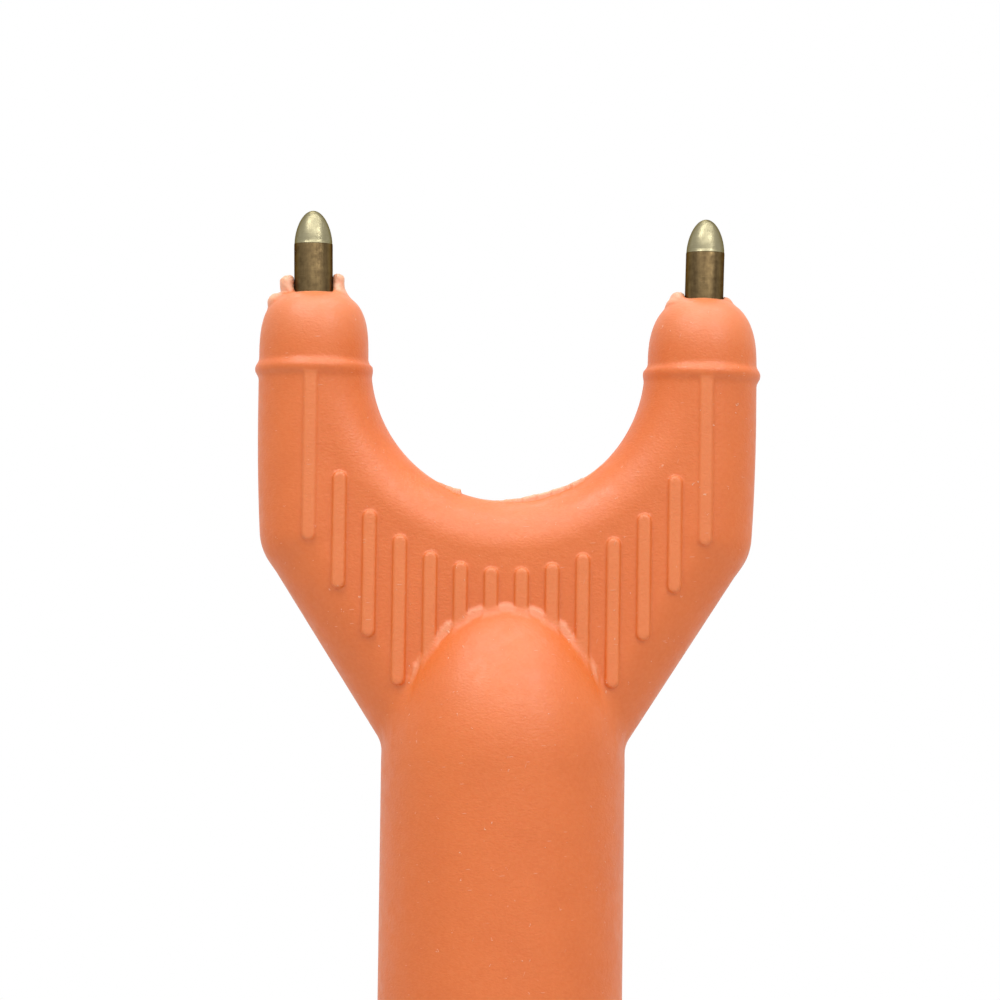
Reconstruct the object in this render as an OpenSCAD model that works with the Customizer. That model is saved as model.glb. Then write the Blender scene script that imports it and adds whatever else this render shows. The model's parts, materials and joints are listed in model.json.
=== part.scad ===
// Cattle prodder: a forked head with two brass electrodes on a tubular shaft, and a two-part handle
// that holds the cells, the high-voltage circuit, a sprung trigger and a twist-off battery cap.
// It stands on its end cap. +Z runs up the shaft to the electrodes, and -Y is the trigger side.

/* [Electrodes] */
// Diameter of each brass electrode
electrode_d = 4; // [3:0.1:5]
// Distance between the two electrode axes
electrode_spacing = 40.2; // [37:0.2:46]
// Straight bare length between the prong and the tip
electrode_bare_l = 5.2; // [3:0.1:9]
// Length of the bullet tip
electrode_tip_l = 3.3; // [2:0.1:6]
// Length held inside the prong
electrode_root_l = 15; // [12:0.5:17]
// Diameter of the flange that keeps the electrode in the prong
electrode_flange_d = 6.6; // [6:0.1:8]
// Thickness of that flange
electrode_flange_t = 1.4; // [1:0.1:2.5]

/* [Fork head] */
// Outside diameter of the barrel
barrel_d = 25; // [24:0.5:28]
// Length of the straight barrel below the fork
barrel_l = 55; // [45:1:75]
// Thickness of the prongs
arm_d = 11.2; // [10.4:0.1:12.4]
// Height of each prong's nose above the centre of the gap
nose_l = 7.3; // [6:0.1:10]
// Height of the straight outer edge below the centre of the gap
fork_drop = 18.5; // [16:0.5:24]
// Slope of the lower edges, measured from the barrel's axis
taper_angle = 32.5; // [28:0.5:38]
// Height of the domed end of the barrel
dome_l = 18.5; // [15:0.5:20]
// Width of the bead round each prong
bead_w = 1.6; // [1.2:0.1:2.2]
// Height of the bead over the prong
bead_proud = 0.4; // [0.3:0.05:0.6]

/* [Face ribs] */
// Number of ribs on each half of the face
rib_count = 7; // [5:1:7]
// Distance between neighbouring ribs
rib_pitch = 3.17; // [2.6:0.01:3.2]
// Width of a rib
rib_w = 1.35; // [0.9:0.05:1.8]
// Height of a rib over the prongs
rib_proud = 0.35; // [0.25:0.05:0.6]
// Distance from the edge of the gap to the top of the ribs
rib_top_gap = 6.3; // [5.5:0.1:8]
// Distance from the sloping edge to the bottom of the ribs
rib_edge_gap = 4.5; // [3.5:0.1:6]

/* [Shaft] */
// Outside diameter of the shaft tube
shaft_d = 19; // [18:0.1:19.6]
// Wall of the shaft tube
shaft_wall = 2.5; // [1.5:0.1:2.8]
// Bare length between the collar and the head
shaft_free_l = 97; // [60:1:400]
// Length held in the neck of the handle
shaft_seat_l = 26; // [20:1:34]
// Diameter of each high-voltage lead
lead_d = 2.6; // [2:0.1:3]
// Distance between the two leads in the shaft
lead_spacing = 8.4; // [7.6:0.1:8.8]
// Number of spacers between the leads
spacer_count = 3; // [2:1:5]
// Thickness of a spacer
spacer_t = 6; // [4:0.5:10]
// Length of the crimp below each electrode
crimp_l = 4.2; // [3.5:0.1:6]

/* [Collar] */
// Outside diameter of the collar nut
collar_d = 33; // [31:0.5:36]
// Wall of the neck inside the collar
neck_wall = 3.2; // [2.6:0.1:3.6]
// Height of the rubber gland ring
gland_h = 3; // [2:0.1:5]
// Thickness of the collar over the gland ring
collar_top_t = 2.6; // [2:0.1:4]

/* [Cells and cap] */
// Diameter of one cell
cell_d = 26.2; // [25.4:0.1:26.6]
// Length of one cell with its button
cell_l = 50; // [46:0.5:56]
// Height of the button on the cell
cell_button_h = 1.6; // [1.2:0.1:2.2]
// Thickness of the rubber foot pad
foot_pad_h = 3; // [2:0.5:5]
// Outside diameter of the end cap
cap_d = 41; // [40:0.5:46]
// Height of the solid base of the end cap
cap_base_h = 12; // [10:0.5:18]
// Height of the skirt of the end cap
cap_skirt_h = 11; // [10:0.5:14]
// Diameter of the lanyard hole
lanyard_d = 5; // [4:0.2:6]
// Working height of the battery spring
battery_spring_l = 9; // [8:0.5:12]
// Turn that frees the end cap, in degrees
cap_turn = 40; // [30:1:50]
// Height of a bayonet lug
lug_h = 3; // [2.4:0.1:3.6]

/* [Handle] */
// Wall of the handle under the grip
handle_wall = 2.9; // [2.7:0.1:3.4]
// Thickness of the grip sleeve
grip_t = 2.6; // [2:0.1:3]
// Number of ribs round the grip sleeve
grip_ribs = 16; // [8:1:22]
// Diameter of the housing round the trigger
housing_d = 37.2; // [36.8:0.1:39]
// Thickness of the circuit board
board_t = 1.6; // [1.2:0.1:2]
// Thickness of the bulkhead over the cells
bulkhead_t = 4; // [3:0.5:6]
// Diameter of the shell screws
screw_d = 2.8; // [2.4:0.1:3]

/* [Trigger] */
// Width of the trigger
trigger_w = 10; // [8:0.5:11]
// How far the trigger stands out of the housing
trigger_proud = 5.4; // [4:0.2:7]
// Diameter of the trigger pin
trigger_pin_d = 3; // [2.4:0.1:3.4]
// Height of the trigger pin above the foot of the circuit board
trigger_up = 52; // [46:0.5:60]
// Travel of the trigger, in degrees
trigger_turn = 7; // [5:0.5:7]
// Diameter of the switch plunger
plunger_d = 2.4; // [2:0.1:3]
// Travel of the safety slider
slider_travel = 4; // [3:0.1:4.5]

/* [Hidden] */
$fn = 64;
// Extra length of every cut, so that no cut ends on a face
overrun = 1;
// Gap between a piece and the flat it sits on
seat_gap = 0.1;
// Radial gap round a pin that is moulded or pressed in
fit_gap = 0.05;
// Radial gap between sleeves
slip_gap = 0.15;
// Gap round a sliding or turning piece
move_gap = 0.3;
// Step between neighbouring rounded edges, which keeps them from touching edge to edge
edge_step = 0.15;

// Levels of the cap and the cells
cap_floor_z = foot_pad_h + cap_base_h;
cap_z1 = cap_floor_z + cap_skirt_h;
contact_t = 0.8;
seal_d = 1.4;
shoulder_z = cap_z1 + seal_d + 2 * seat_gap;
cell_z0 = cap_floor_z + contact_t + battery_spring_l + seat_gap;
cell_z1 = cell_z0 + cell_l + seat_gap;
bulkhead_z0 = cell_z1 + cell_l + seat_gap + contact_t;
bulkhead_z1 = bulkhead_z0 + bulkhead_t;
board_z0 = bulkhead_z1 + seat_gap;
board_over_trigger = 12;
board_l = trigger_up + board_over_trigger;
board_z1 = board_z0 + board_l;

// Radii of the handle
cell_r = cell_d / 2;
cell_gap = 0.4;
bore_r = cell_r + cell_gap;
ledge = 0.7;
chamber_r = bore_r + ledge;
shell_r = bore_r + handle_wall;
grip_r = shell_r + grip_t;
housing_r = housing_d / 2;
cap_r = cap_d / 2;
flange_proud = 0.3;
flange_r = grip_r + flange_proud;
flange_h = 5;
grip_z0 = shoulder_z + flange_h;
housing_below = 2;
grip_z1 = board_z0 - housing_below;

// Levels of the shaft, the collar and the head
terminal_h = 6;
lead_room = 8;
shaft_r = shaft_d / 2;
shaft_bore_r = shaft_r - shaft_wall;
shaft_z0 = board_z1 + terminal_h + lead_room;
neck_r = shaft_r + slip_gap + neck_wall;
neck_z1 = shaft_z0 + shaft_seat_l;
nose_cone_above = 4;
nose_cone_z0 = board_z1 + nose_cone_above;
nose_cone_lap = 3;
nose_cone_z1 = shaft_z0 + nose_cone_lap;
collar_r = collar_d / 2;
collar_z0 = nose_cone_z1 + move_gap;
collar_flange_z = neck_z1 + gland_h;
collar_z1 = collar_flange_z + collar_top_t;
head_z0 = collar_z1 + shaft_free_l;

// Outline of the fork
electrode_r = electrode_d / 2;
electrode_x = electrode_spacing / 2;
arm_r = arm_d / 2;
barrel_r = barrel_d / 2;
fork_half_w = electrode_x + arm_r;
gap_r = electrode_x - arm_r;
edge_r = arm_r - edge_step;
plate_half_t = edge_r - edge_step;
rim_r = gap_r + edge_r;
taper_l = (fork_half_w - barrel_r) / tan(taper_angle);
junction_z = head_z0 + barrel_l;
corner_z = junction_z + taper_l;
fork_z = corner_z + fork_drop;
corner_mid_z = corner_z + (edge_r - arm_r * cos(taper_angle)) / sin(taper_angle);
taper_end_share = 0.34;
taper_end_x = barrel_r * taper_end_share;
taper_run = electrode_x - taper_end_x;
taper_end_z = corner_mid_z - taper_run / tan(taper_angle);
dome_start = 2.3;
dome_z0 = junction_z - dome_start;
nose_z = fork_z + nose_l;
nose_power = 2.6;
nose_steps = 10;
dome_steps = 10;
bead_z = fork_z - bead_w / 4;
mouth_chamfer = 0.8;

// Electrodes, crimps and leads
root_z0 = nose_z - electrode_root_l;
flange_z0 = fork_z - electrode_flange_t / 2;
tip_step = 0.1;
tip_z0 = nose_z + electrode_bare_l;
tip_steps = 8;
lead_r = lead_d / 2;
lead_x = lead_spacing / 2;
lead_sides = 8;
channel_gap = 0.25;
crimp_wall = 0.6;
crimp_r = lead_r + seat_gap + crimp_wall;
crimp_roof = 0.8;
crimp_z0 = root_z0 - crimp_l;
lead_straight = 1.2;
route_steps = 12;
shaft_z1 = dome_z0 - seat_gap;

// Circuit board, and the pieces on it
board_y0 = 2;
board_y1 = board_y0 + board_t;
board_mid_y = board_y0 + board_t / 2;
board_half_w = sqrt(chamber_r * chamber_r - board_y1 * board_y1) - seat_gap;
terminal_r = 1.6;
chamber_z1 = board_z1 + seat_gap;
shaft_ledge = 1.2;
wire_bore_r = shaft_r - shaft_ledge;

// Trigger, in sizes from its pin: out is towards -Y and up is +Z
pivot_y = -chamber_r;
pivot_z = board_z0 + trigger_up;
pivot_boss_r = 3.4;
trigger_half_w = trigger_w / 2;
slot_half_w = trigger_half_w + move_gap;
screw_up = 9;
screw_boss_r = 3;
lip_clear = 1.5;
lip_drop = 3.5;
slot_room = 1.4;
slot_top = 4.6;
lip_foot = -(trigger_up - screw_up - screw_boss_r - lip_clear);
trigger_foot = lip_foot + lip_drop;
slot_foot = trigger_foot - slot_room;
trigger_back = -2;
skin_out = housing_r - chamber_r;
trigger_out = skin_out + trigger_proud;
pad_steps = 8;
pad_top_share = 0.4;
pad_top = trigger_foot * pad_top_share;
pad_dip = 1.3;
chamber_at_slot = sqrt(chamber_r * chamber_r - slot_half_w * slot_half_w);
lip_out = -(chamber_r - chamber_at_slot) - move_gap;
lip_t = 2;
lip_in = lip_out - lip_t;
lip_h = 4;
lip_ramp = 1;
trigger_corner = 2;
trigger_sink = 1;
trigger_brow = 1.4;
trigger_brow_drop = 3;
plunger_drop = 10;
plunger_z = pivot_z - plunger_drop;
plunger_r = plunger_d / 2;
plunger_travel = plunger_drop * trigger_turn * PI / 180;
plunger_l = 4;
switch_front_y = -5;
plunger_y = switch_front_y - plunger_travel;
press_gap = 0.35;
press_in = plunger_y - pivot_y - press_gap;
press_half_h = 2;
switch_w = 12.8;
switch_h = 5.8;
pin_grip_l = 4.2;
pin_half_l = slot_half_w + pin_grip_l;

// Trigger spring
spring_share = 0.77;
spring_drop = -trigger_foot * spring_share;
spring_z = pivot_z - spring_drop;
trigger_spring_r = 2.6;
trigger_wire_r = 0.3;
trigger_spring_turns = 4;
shelf_y0 = -3;
shelf_t = 2;
shelf_half_h = 4;
peg_r = 1.6;
peg_l = 1.6;
trigger_back_y = pivot_y - trigger_back;
trigger_spring_l = shelf_y0 - trigger_back_y - 2 * seat_gap;

// Safety slider and its switch
slider_drop = 8;
slider_z = pivot_z - slider_drop;
slider_half_w = 4.8;
slider_half_h = 5;
slider_proud = 1.7;
recess_depth = 1.6;
recess_y = housing_r - recess_depth;
stem_half_w = 1.9;
stem_half_h = 2.5;
stem_tip_half_w = 0.8;
stem_tip_half_h = 1.8;
keep_half_w = 3.8;
keep_t = 1.1;
keep_y1 = sqrt(chamber_r * chamber_r - keep_half_w * keep_half_w) - move_gap;
slide_switch_w = 7.2;
slide_switch_t = 5.4;
slide_switch_y1 = board_y1 + seat_gap + slide_switch_t;
slide_switch_below = 8;
slide_switch_above = 10;
stem_dip = 1;
finger_groove_w = 1;
finger_groove_d = 0.5;

// Screws and their bosses
screw_y = 11;
screw_r = screw_d / 2;
screw_head_r = 2.5;
screw_head_h = 2;
screw_head_x = 11.5;
screw_tip_x = 8.5;
screw_low_z = board_z0 + screw_up;
screw_high_z = pivot_z + slot_top + screw_boss_r + overrun;

// Transformer, between the lower screws and the slide switch
core_half_w = 8;
core_leg_half_w = 2;
core_window_x = 5.8;
core_t = 5.4;
core_yoke = 3;
core_stand = 1.4;
core_y0 = board_y1 + core_stand;
core_above_boss = 3.2;
core_z0 = screw_low_z + screw_boss_r + core_above_boss;
core_below_switch = 3.8;
core_z1 = slider_z - slide_switch_below - core_below_switch;

// Bayonet
spigot_gap = 0.7;
spigot_z0 = cap_floor_z + contact_t + spigot_gap;
lug_up = 4;
lug_z0 = cap_floor_z + lug_up;
lug_half_angle = 9;
lug_gap_angle = 1.2;
lug_depth = 1.6;
lug_r = shell_r + slip_gap - lug_depth;
lug_reach = cap_r + overrun;

// Positive contact's stem, and the negative strip at the back of the bore
stem_r = 1.1;
strip_half_w = 2;
strip_t = 0.6;
strip_y1 = bore_r + cell_gap + strip_t;

// Battery spring, and the least gap of each spring to itself
battery_wire_r = 0.5;
battery_spring_turns = 3.5;
battery_spring_r0 = 9;
battery_spring_r1 = 5;
coil_rings = 12;
coil_sides = 6;
echo(trigger_spring_gap = coil_gap(coil(trigger_spring_r, trigger_spring_r, trigger_wire_r,
    trigger_spring_l, trigger_spring_turns), trigger_wire_r));
echo(battery_spring_gap = coil_gap(coil(battery_spring_r0, battery_spring_r1, battery_wire_r,
    battery_spring_l - seat_gap, battery_spring_turns), battery_wire_r));

// Helpers

function unit(v) = v / norm(v);
function heading(path, i) = unit(path[min(i + 1, len(path) - 1)] - path[max(i - 1, 0)]);
function ease(t) = t * t * (3 - 2 * t);

// One ring of points round a path, across its heading
function ring(centre, along, side, r, n) =
    let (u = unit(cross(side, along)), w = cross(along, u))
    [for (k = [0:n - 1]) centre + r * (cos(360 * k / n) * u + sin(360 * k / n) * w)];

// A closed tube of n sides along a path; side is a direction that the path never takes
module swept_tube(path, r, n, side) {
    count = len(path);
    points = [for (i = [0:count - 1]) each ring(path[i], heading(path, i), side, r, n)];
    last = (count - 1) * n;
    walls = [for (i = [0:count - 2], k = [0:n - 1])
        let (a = i * n + k, b = i * n + (k + 1) % n)
        each [[a, a + n, b + n], [a, b + n, b]]];
    first_end = [for (k = [1:n - 2]) [0, k, k + 1]];
    last_end = [for (k = [1:n - 2]) [last, last + k + 1, last + k]];
    polyhedron(points = points, faces = concat(walls, first_end, last_end));
}

// Centre line of a coil along +Z, with half a turn lying flat at each end
function coil(r0, r1, wire_r, length, turns) =
    let (flat_share = 0.5, live = turns - 2 * flat_share)
    [for (i = [0:turns * coil_rings])
        let (turn = i / coil_rings,
            rise = min(max(turn - flat_share, 0), live) / live,
            r = r0 + (r1 - r0) * rise)
        [r * cos(360 * turn), r * sin(360 * turn), wire_r + (length - 2 * wire_r) * rise]];

// Least distance between points of a coil that lie at least half a turn apart, less the wire
function coil_gap(path, wire_r) =
    let (apart = coil_rings / 2, last = len(path) - 1)
    min([for (i = [0:last - apart], j = [i + apart:last]) norm(path[i] - path[j])]) - 2 * wire_r;

module round_bar(r, z0, z1) {
    translate([0, 0, z0]) cylinder(r = r, h = z1 - z0);
}

module pipe(r1, r0, z0, z1) {
    difference() {
        round_bar(r1, z0, z1);
        round_bar(r0, z0 - overrun, z1 + overrun);
    }
}

// A block between two corners
module block(low, high) {
    translate(low) cube(high - low);
}

// A bar along X between two values of x
module cross_bar(r, x0, x1, y, z) {
    translate([x0, y, z]) rotate([0, 90, 0]) cylinder(r = r, h = x1 - x0);
}

// A bar along Y between two values of y
module deep_bar(r, y0, y1, x, z) {
    translate([x, y0, z]) rotate([-90, 0, 0]) cylinder(r = r, h = y1 - y0);
}

// A wedge about the Z axis between two angles less than half a turn apart
module sector(r, a0, a1, z0, z1) {
    mid = (a0 + a1) / 2;
    reach = r / cos((a1 - a0) / 2);
    translate([0, 0, z0])
        linear_extrude(height = z1 - z0)
            polygon([[0, 0], [r * cos(a0), r * sin(a0)], [reach * cos(mid), reach * sin(mid)],
                [r * cos(a1), r * sin(a1)]]);
}

module both_sides() {
    for (s = [0, 1])
        mirror([s, 0, 0])
            children();
}

// Fork head

module arm() {
    foot_z = corner_mid_z + 4 * edge_step;
    translate([electrode_x, 0, 0])
        rotate_extrude()
            polygon(concat([[0, corner_mid_z], [edge_r - edge_step, corner_mid_z], [arm_r, foot_z]],
                [for (k = [0:nose_steps])
                    let (a = 90 * k / nose_steps, p = 2 / nose_power)
                    [k == nose_steps ? 0 : arm_r * pow(cos(a), p), fork_z + nose_l * pow(sin(a), p)]]));
}

module bead() {
    translate([electrode_x, 0, bead_z])
        rotate_extrude()
            translate([arm_r + bead_proud - bead_w / 2, 0])
                circle(d = bead_w);
}

module fork_plate() {
    rotate([90, 0, 0])
        linear_extrude(height = 2 * plate_half_t, center = true)
            difference() {
                polygon([[electrode_x, fork_z], [electrode_x, corner_mid_z], [taper_end_x, taper_end_z],
                    [-taper_end_x, taper_end_z], [-electrode_x, corner_mid_z], [-electrode_x, fork_z]]);
                translate([0, fork_z])
                    circle(r = rim_r);
            }
}

module gap_rim() {
    translate([0, 0, fork_z])
        rotate([90, 0, 0])
            rotate([0, 0, 180])
                rotate_extrude(angle = 180)
                    translate([rim_r, 0])
                        circle(r = edge_r);
}

module taper_edge() {
    translate([electrode_x, 0, corner_mid_z]) {
        sphere(r = edge_r);
        rotate([0, 180 + taper_angle, 0])
            cylinder(r = edge_r, h = taper_run / sin(taper_angle));
    }
}

module barrel() {
    rotate_extrude()
        polygon(concat([[0, head_z0], [barrel_r - mouth_chamfer, head_z0],
            [barrel_r, head_z0 + mouth_chamfer]],
            [for (k = [0:dome_steps])
                let (a = 90 * k / dome_steps)
                [k == dome_steps ? 0 : barrel_r * cos(a), dome_z0 + dome_l * sin(a)]]));
}

// Ribs stand on both faces, so each is one bar right through the plate
module face_ribs() {
    top_r = gap_r + rib_top_gap;
    inset = rib_edge_gap / cos(taper_angle);
    for (i = [0:rib_count - 1]) {
        x = (i + 0.5) * rib_pitch;
        arc_top = x < top_r ? fork_z - sqrt(top_r * top_r - x * x) : bead_z;
        on_prong = x > electrode_x - rib_pitch / 2;
        top = on_prong ? bead_z : arc_top;
        foot = max(corner_z - (fork_half_w - inset - x) / tan(taper_angle), dome_z0);
        rotate([90, 0, 0])
            linear_extrude(height = 2 * (arm_r + rib_proud), center = true) {
                translate([x, foot + rib_w / 2])
                    circle(d = rib_w);
                translate([x, top - rib_w / 2])
                    circle(d = rib_w);
                translate([x - rib_w / 2, foot + rib_w / 2])
                    square([rib_w, top - foot - rib_w]);
            }
    }
}

// The lead's way from the shaft to the crimp, on the right
function head_route() = concat(
    [for (k = [0:route_steps])
        let (t = k / route_steps)
        [lead_x + (electrode_x - lead_x) * ease(t), 0,
            dome_z0 + (crimp_z0 - lead_straight - dome_z0) * t]],
    [[electrode_x, 0, crimp_z0]]);

module head_cavities() {
    round_bar(shaft_r + fit_gap, head_z0 - overrun, dome_z0);
    both_sides() {
        translate([electrode_x, 0, 0]) {
            round_bar(electrode_r + fit_gap, root_z0 - overrun, nose_z + overrun);
            round_bar(electrode_flange_d / 2 + fit_gap, flange_z0 - fit_gap,
                flange_z0 + electrode_flange_t + fit_gap);
            round_bar(crimp_r + fit_gap, crimp_z0 - fit_gap, root_z0);
        }
        swept_tube(concat([[lead_x, 0, dome_z0 - overrun]], head_route(),
            [[electrode_x, 0, crimp_z0 + overrun]]), lead_r + channel_gap, lead_sides, [0, 1, 0]);
    }
}

module prod_head() {
    color("DarkOrange")
        difference() {
            union() {
                barrel();
                fork_plate();
                gap_rim();
                both_sides() {
                    arm();
                    bead();
                    taper_edge();
                    face_ribs();
                }
            }
            head_cavities();
        }
}

module electrode() {
    flange_r1 = electrode_flange_d / 2;
    flange_z1 = flange_z0 + electrode_flange_t;
    tip_r = electrode_r - tip_step;
    translate([electrode_x, 0, 0])
        rotate_extrude()
            polygon(concat([[0, root_z0], [electrode_r, root_z0], [electrode_r, flange_z0],
                [flange_r1, flange_z0], [flange_r1, flange_z1], [electrode_r, flange_z1],
                [electrode_r, tip_z0]],
                [for (k = [0:tip_steps])
                    let (a = 90 * k / tip_steps)
                    [k == tip_steps ? 0 : tip_r * cos(a), tip_z0 + electrode_tip_l * sin(a)]]));
}

module electrode_left() {
    color("Goldenrod")
        mirror([1, 0, 0])
            electrode();
}

module electrode_right() {
    color("Goldenrod")
        electrode();
}

module electrode_crimps() {
    color("Silver")
        both_sides()
            translate([electrode_x, 0, 0])
                difference() {
                    round_bar(crimp_r, crimp_z0, root_z0 - fit_gap);
                    round_bar(lead_r + seat_gap, crimp_z0 - overrun, root_z0 - crimp_roof);
                }
}

// Leads, from the terminals on the board to the crimps

function lead_route() = concat(
    [[lead_x, board_mid_y, board_z1 + terminal_h + seat_gap],
        [lead_x, board_mid_y, board_z1 + terminal_h + lead_straight],
        [lead_x, board_mid_y / 2, shaft_z0 - lead_room / 4],
        [lead_x, 0, shaft_z0 + lead_room / 4],
        [lead_x, 0, shaft_z0 + lead_room]],
    [for (k = [1:3]) [lead_x, 0, shaft_z0 + lead_room + (dome_z0 - shaft_z0 - lead_room) * k / 4]],
    head_route(),
    [[electrode_x, 0, root_z0 - crimp_roof - seat_gap]]);

module lead_left() {
    color("Firebrick")
        mirror([1, 0, 0])
            swept_tube(lead_route(), lead_r, lead_sides, [0, 1, 0]);
}

module lead_right() {
    color("Black")
        swept_tube(lead_route(), lead_r, lead_sides, [0, 1, 0]);
}

module lead_spacers() {
    color("WhiteSmoke")
        for (i = [1:spacer_count]) {
            z = shaft_z0 + lead_room + (shaft_z1 - shaft_z0 - lead_room) * i / (spacer_count + 1);
            difference() {
                round_bar(shaft_bore_r - slip_gap, z - spacer_t / 2, z + spacer_t / 2);
                both_sides()
                    translate([lead_x, 0, 0])
                        round_bar(lead_r + seat_gap, z - spacer_t, z + spacer_t);
            }
        }
}

module shaft_tube() {
    color("DimGray")
        pipe(shaft_r, shaft_bore_r, shaft_z0, shaft_z1);
}

module gland_ring() {
    color("DarkSlateGray")
        pipe(neck_r - move_gap, shaft_r + fit_gap, neck_z1 + fit_gap, collar_flange_z - fit_gap);
}

module collar_nut() {
    flutes = 18;
    flute_r = 1.3;
    flute_out = 0.7;
    edge = 1;
    color("DimGray")
        difference() {
            rotate_extrude()
                polygon([[0, collar_z0], [collar_r - edge, collar_z0], [collar_r, collar_z0 + edge],
                    [collar_r, collar_z1 - 2 * edge], [collar_r - 2 * edge, collar_z1], [0, collar_z1]]);
            round_bar(neck_r + slip_gap, collar_z0 - overrun, collar_flange_z);
            round_bar(shaft_r + slip_gap, collar_z0, collar_z1 + overrun);
            for (k = [0:flutes - 1])
                rotate([0, 0, 360 * k / flutes])
                    translate([collar_r + flute_out, 0, 0])
                        round_bar(flute_r, collar_z0 + 3 * edge, collar_z1 + overrun);
        }
}

// Handle

module handle_outside() {
    rotate_extrude()
        polygon([[0, spigot_z0], [shell_r, spigot_z0], [shell_r, shoulder_z], [flange_r, shoulder_z],
            [flange_r, grip_z0], [shell_r, grip_z0], [shell_r, grip_z1], [housing_r, grip_z1],
            [housing_r, nose_cone_z0], [collar_r, nose_cone_z1], [neck_r, nose_cone_z1],
            [neck_r, neck_z1], [0, neck_z1]]);
}

module handle_inside() {
    rotate_extrude()
        polygon([[0, spigot_z0 - overrun], [bore_r, spigot_z0 - overrun],
            [bore_r, bulkhead_z0 - seat_gap], [chamber_r, bulkhead_z0 - seat_gap],
            [chamber_r, chamber_z1], [wire_bore_r, chamber_z1],
            [wire_bore_r, shaft_z0 - seat_gap], [shaft_r + slip_gap, shaft_z0 - seat_gap],
            [shaft_r + slip_gap, neck_z1 + overrun], [0, neck_z1 + overrun]]);
}

// Bosses, rails and the spring shelf, clipped to lie inside the wall
module handle_fittings() {
    rail_t = 1.5;
    rail_in = 2;
    rail_end = 4;
    fuse = 1;
    wall_x = chamber_r + fuse;
    intersection() {
        round_bar(chamber_r + fuse, bulkhead_z1, chamber_z1);
        union() {
            for (y = [-screw_y, screw_y], z = [screw_low_z, screw_high_z])
                cross_bar(screw_boss_r, -wall_x, wall_x, y, z);
            both_sides() {
                block([slot_half_w, pivot_y - pivot_boss_r, pivot_z - pivot_boss_r],
                    [pin_half_l + fuse, pivot_y + pivot_boss_r, pivot_z + pivot_boss_r]);
                block([board_half_w - rail_in, board_y0 - seat_gap - rail_t, board_z0 + rail_end],
                    [wall_x, board_y0 - seat_gap, board_z1 - rail_end]);
                block([board_half_w - rail_in, board_y1 + seat_gap, board_z0 + rail_end],
                    [wall_x, board_y1 + seat_gap + rail_t, board_z1 - rail_end]);
            }
            block([-wall_x, shelf_y0, spring_z - shelf_half_h],
                [wall_x, shelf_y0 + shelf_t, spring_z + shelf_half_h]);
        }
    }
}

module bayonet_groove() {
    low = lug_half_angle + lug_gap_angle;
    difference() {
        union() {
            sector(lug_reach, -cap_turn - low, low, lug_z0 - move_gap, lug_z0 + lug_h + move_gap);
            sector(lug_reach, -cap_turn - low, low - cap_turn, spigot_z0 - overrun, lug_z0 + lug_h);
        }
        round_bar(lug_r - move_gap, spigot_z0 - 2 * overrun, shoulder_z);
    }
}

module handle_cuts() {
    slot_in = 1.8;
    head_room = 0.3;
    block([-slot_half_w, -housing_r - overrun, pivot_z + slot_foot],
        [slot_half_w, pivot_y + slot_in, pivot_z + slot_top]);
    cross_bar(trigger_pin_d / 2 + fit_gap, -pin_half_l - seat_gap, pin_half_l + seat_gap,
        pivot_y, pivot_z);
    block([-stem_half_w - move_gap, keep_y1 - keep_t, slider_z - stem_half_h - move_gap],
        [stem_half_w + move_gap, housing_r + overrun, slider_z + slider_travel + stem_half_h + move_gap]);
    block([-slider_half_w - move_gap, recess_y, slider_z - slider_half_h - move_gap],
        [slider_half_w + move_gap, housing_r + overrun,
            slider_z + slider_travel + slider_half_h + move_gap]);
    for (y = [-screw_y, screw_y], z = [screw_low_z, screw_high_z]) {
        cross_bar(screw_head_r + head_room, screw_head_x, housing_r + overrun, y, z);
        cross_bar(screw_r + fit_gap, -screw_tip_x - overrun, screw_head_x + overrun, y, z);
    }
    block([-strip_half_w - slip_gap, bore_r - overrun, spigot_z0 - overrun],
        [strip_half_w + slip_gap, strip_y1 + slip_gap, bulkhead_z1 + overrun]);
    for (a = [0, 180])
        rotate([0, 0, a])
            bayonet_groove();
}

// One half of the handle: side is 1 for +X and -1 for -X
module handle_half(side) {
    reach = cap_d;
    intersection() {
        difference() {
            union() {
                difference() {
                    handle_outside();
                    handle_inside();
                }
                handle_fittings();
            }
            handle_cuts();
        }
        block([side > 0 ? 0 : -reach, -reach, 0], [side > 0 ? reach : 0, reach, neck_z1 + overrun]);
    }
}

module handle_shell_left() {
    color("Orange")
        handle_half(-1);
}

module handle_shell_right() {
    color("Orange")
        handle_half(1);
}

module shell_screws() {
    drive_r = 1.1;
    drive_depth = 1.2;
    color("Silver")
        for (y = [-screw_y, screw_y], z = [screw_low_z, screw_high_z])
            difference() {
                union() {
                    cross_bar(screw_head_r, screw_head_x + fit_gap, screw_head_x + screw_head_h, y, z);
                    cross_bar(screw_r, -screw_tip_x, screw_head_x + screw_head_h / 2, y, z);
                }
                translate([screw_head_x + screw_head_h - drive_depth, y, z])
                    rotate([0, 90, 0])
                        cylinder(r = drive_r, h = drive_depth + overrun, $fn = 6);
            }
}

module grip_sleeve() {
    rib_h = 0.9;
    end_l = 4;
    ramp_share = 0.2;
    crest_share = 0.62;
    low_r = grip_r - rib_h;
    low_z = grip_z0 + seat_gap;
    high_z = grip_z1 - seat_gap;
    pitch = (high_z - low_z - 2 * end_l) / grip_ribs;
    color("DarkSlateGray")
        rotate_extrude()
            polygon(concat([[shell_r + fit_gap, low_z], [low_r, low_z]],
                [for (i = [0:grip_ribs - 1])
                    let (z = low_z + end_l + i * pitch)
                    each [[low_r, z], [grip_r, z + pitch * ramp_share], [grip_r, z + pitch * crest_share],
                        [low_r, z + pitch * (crest_share + ramp_share)]]],
                [[low_r, high_z], [shell_r + fit_gap, high_z]]));
}

// Trigger and switch

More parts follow.
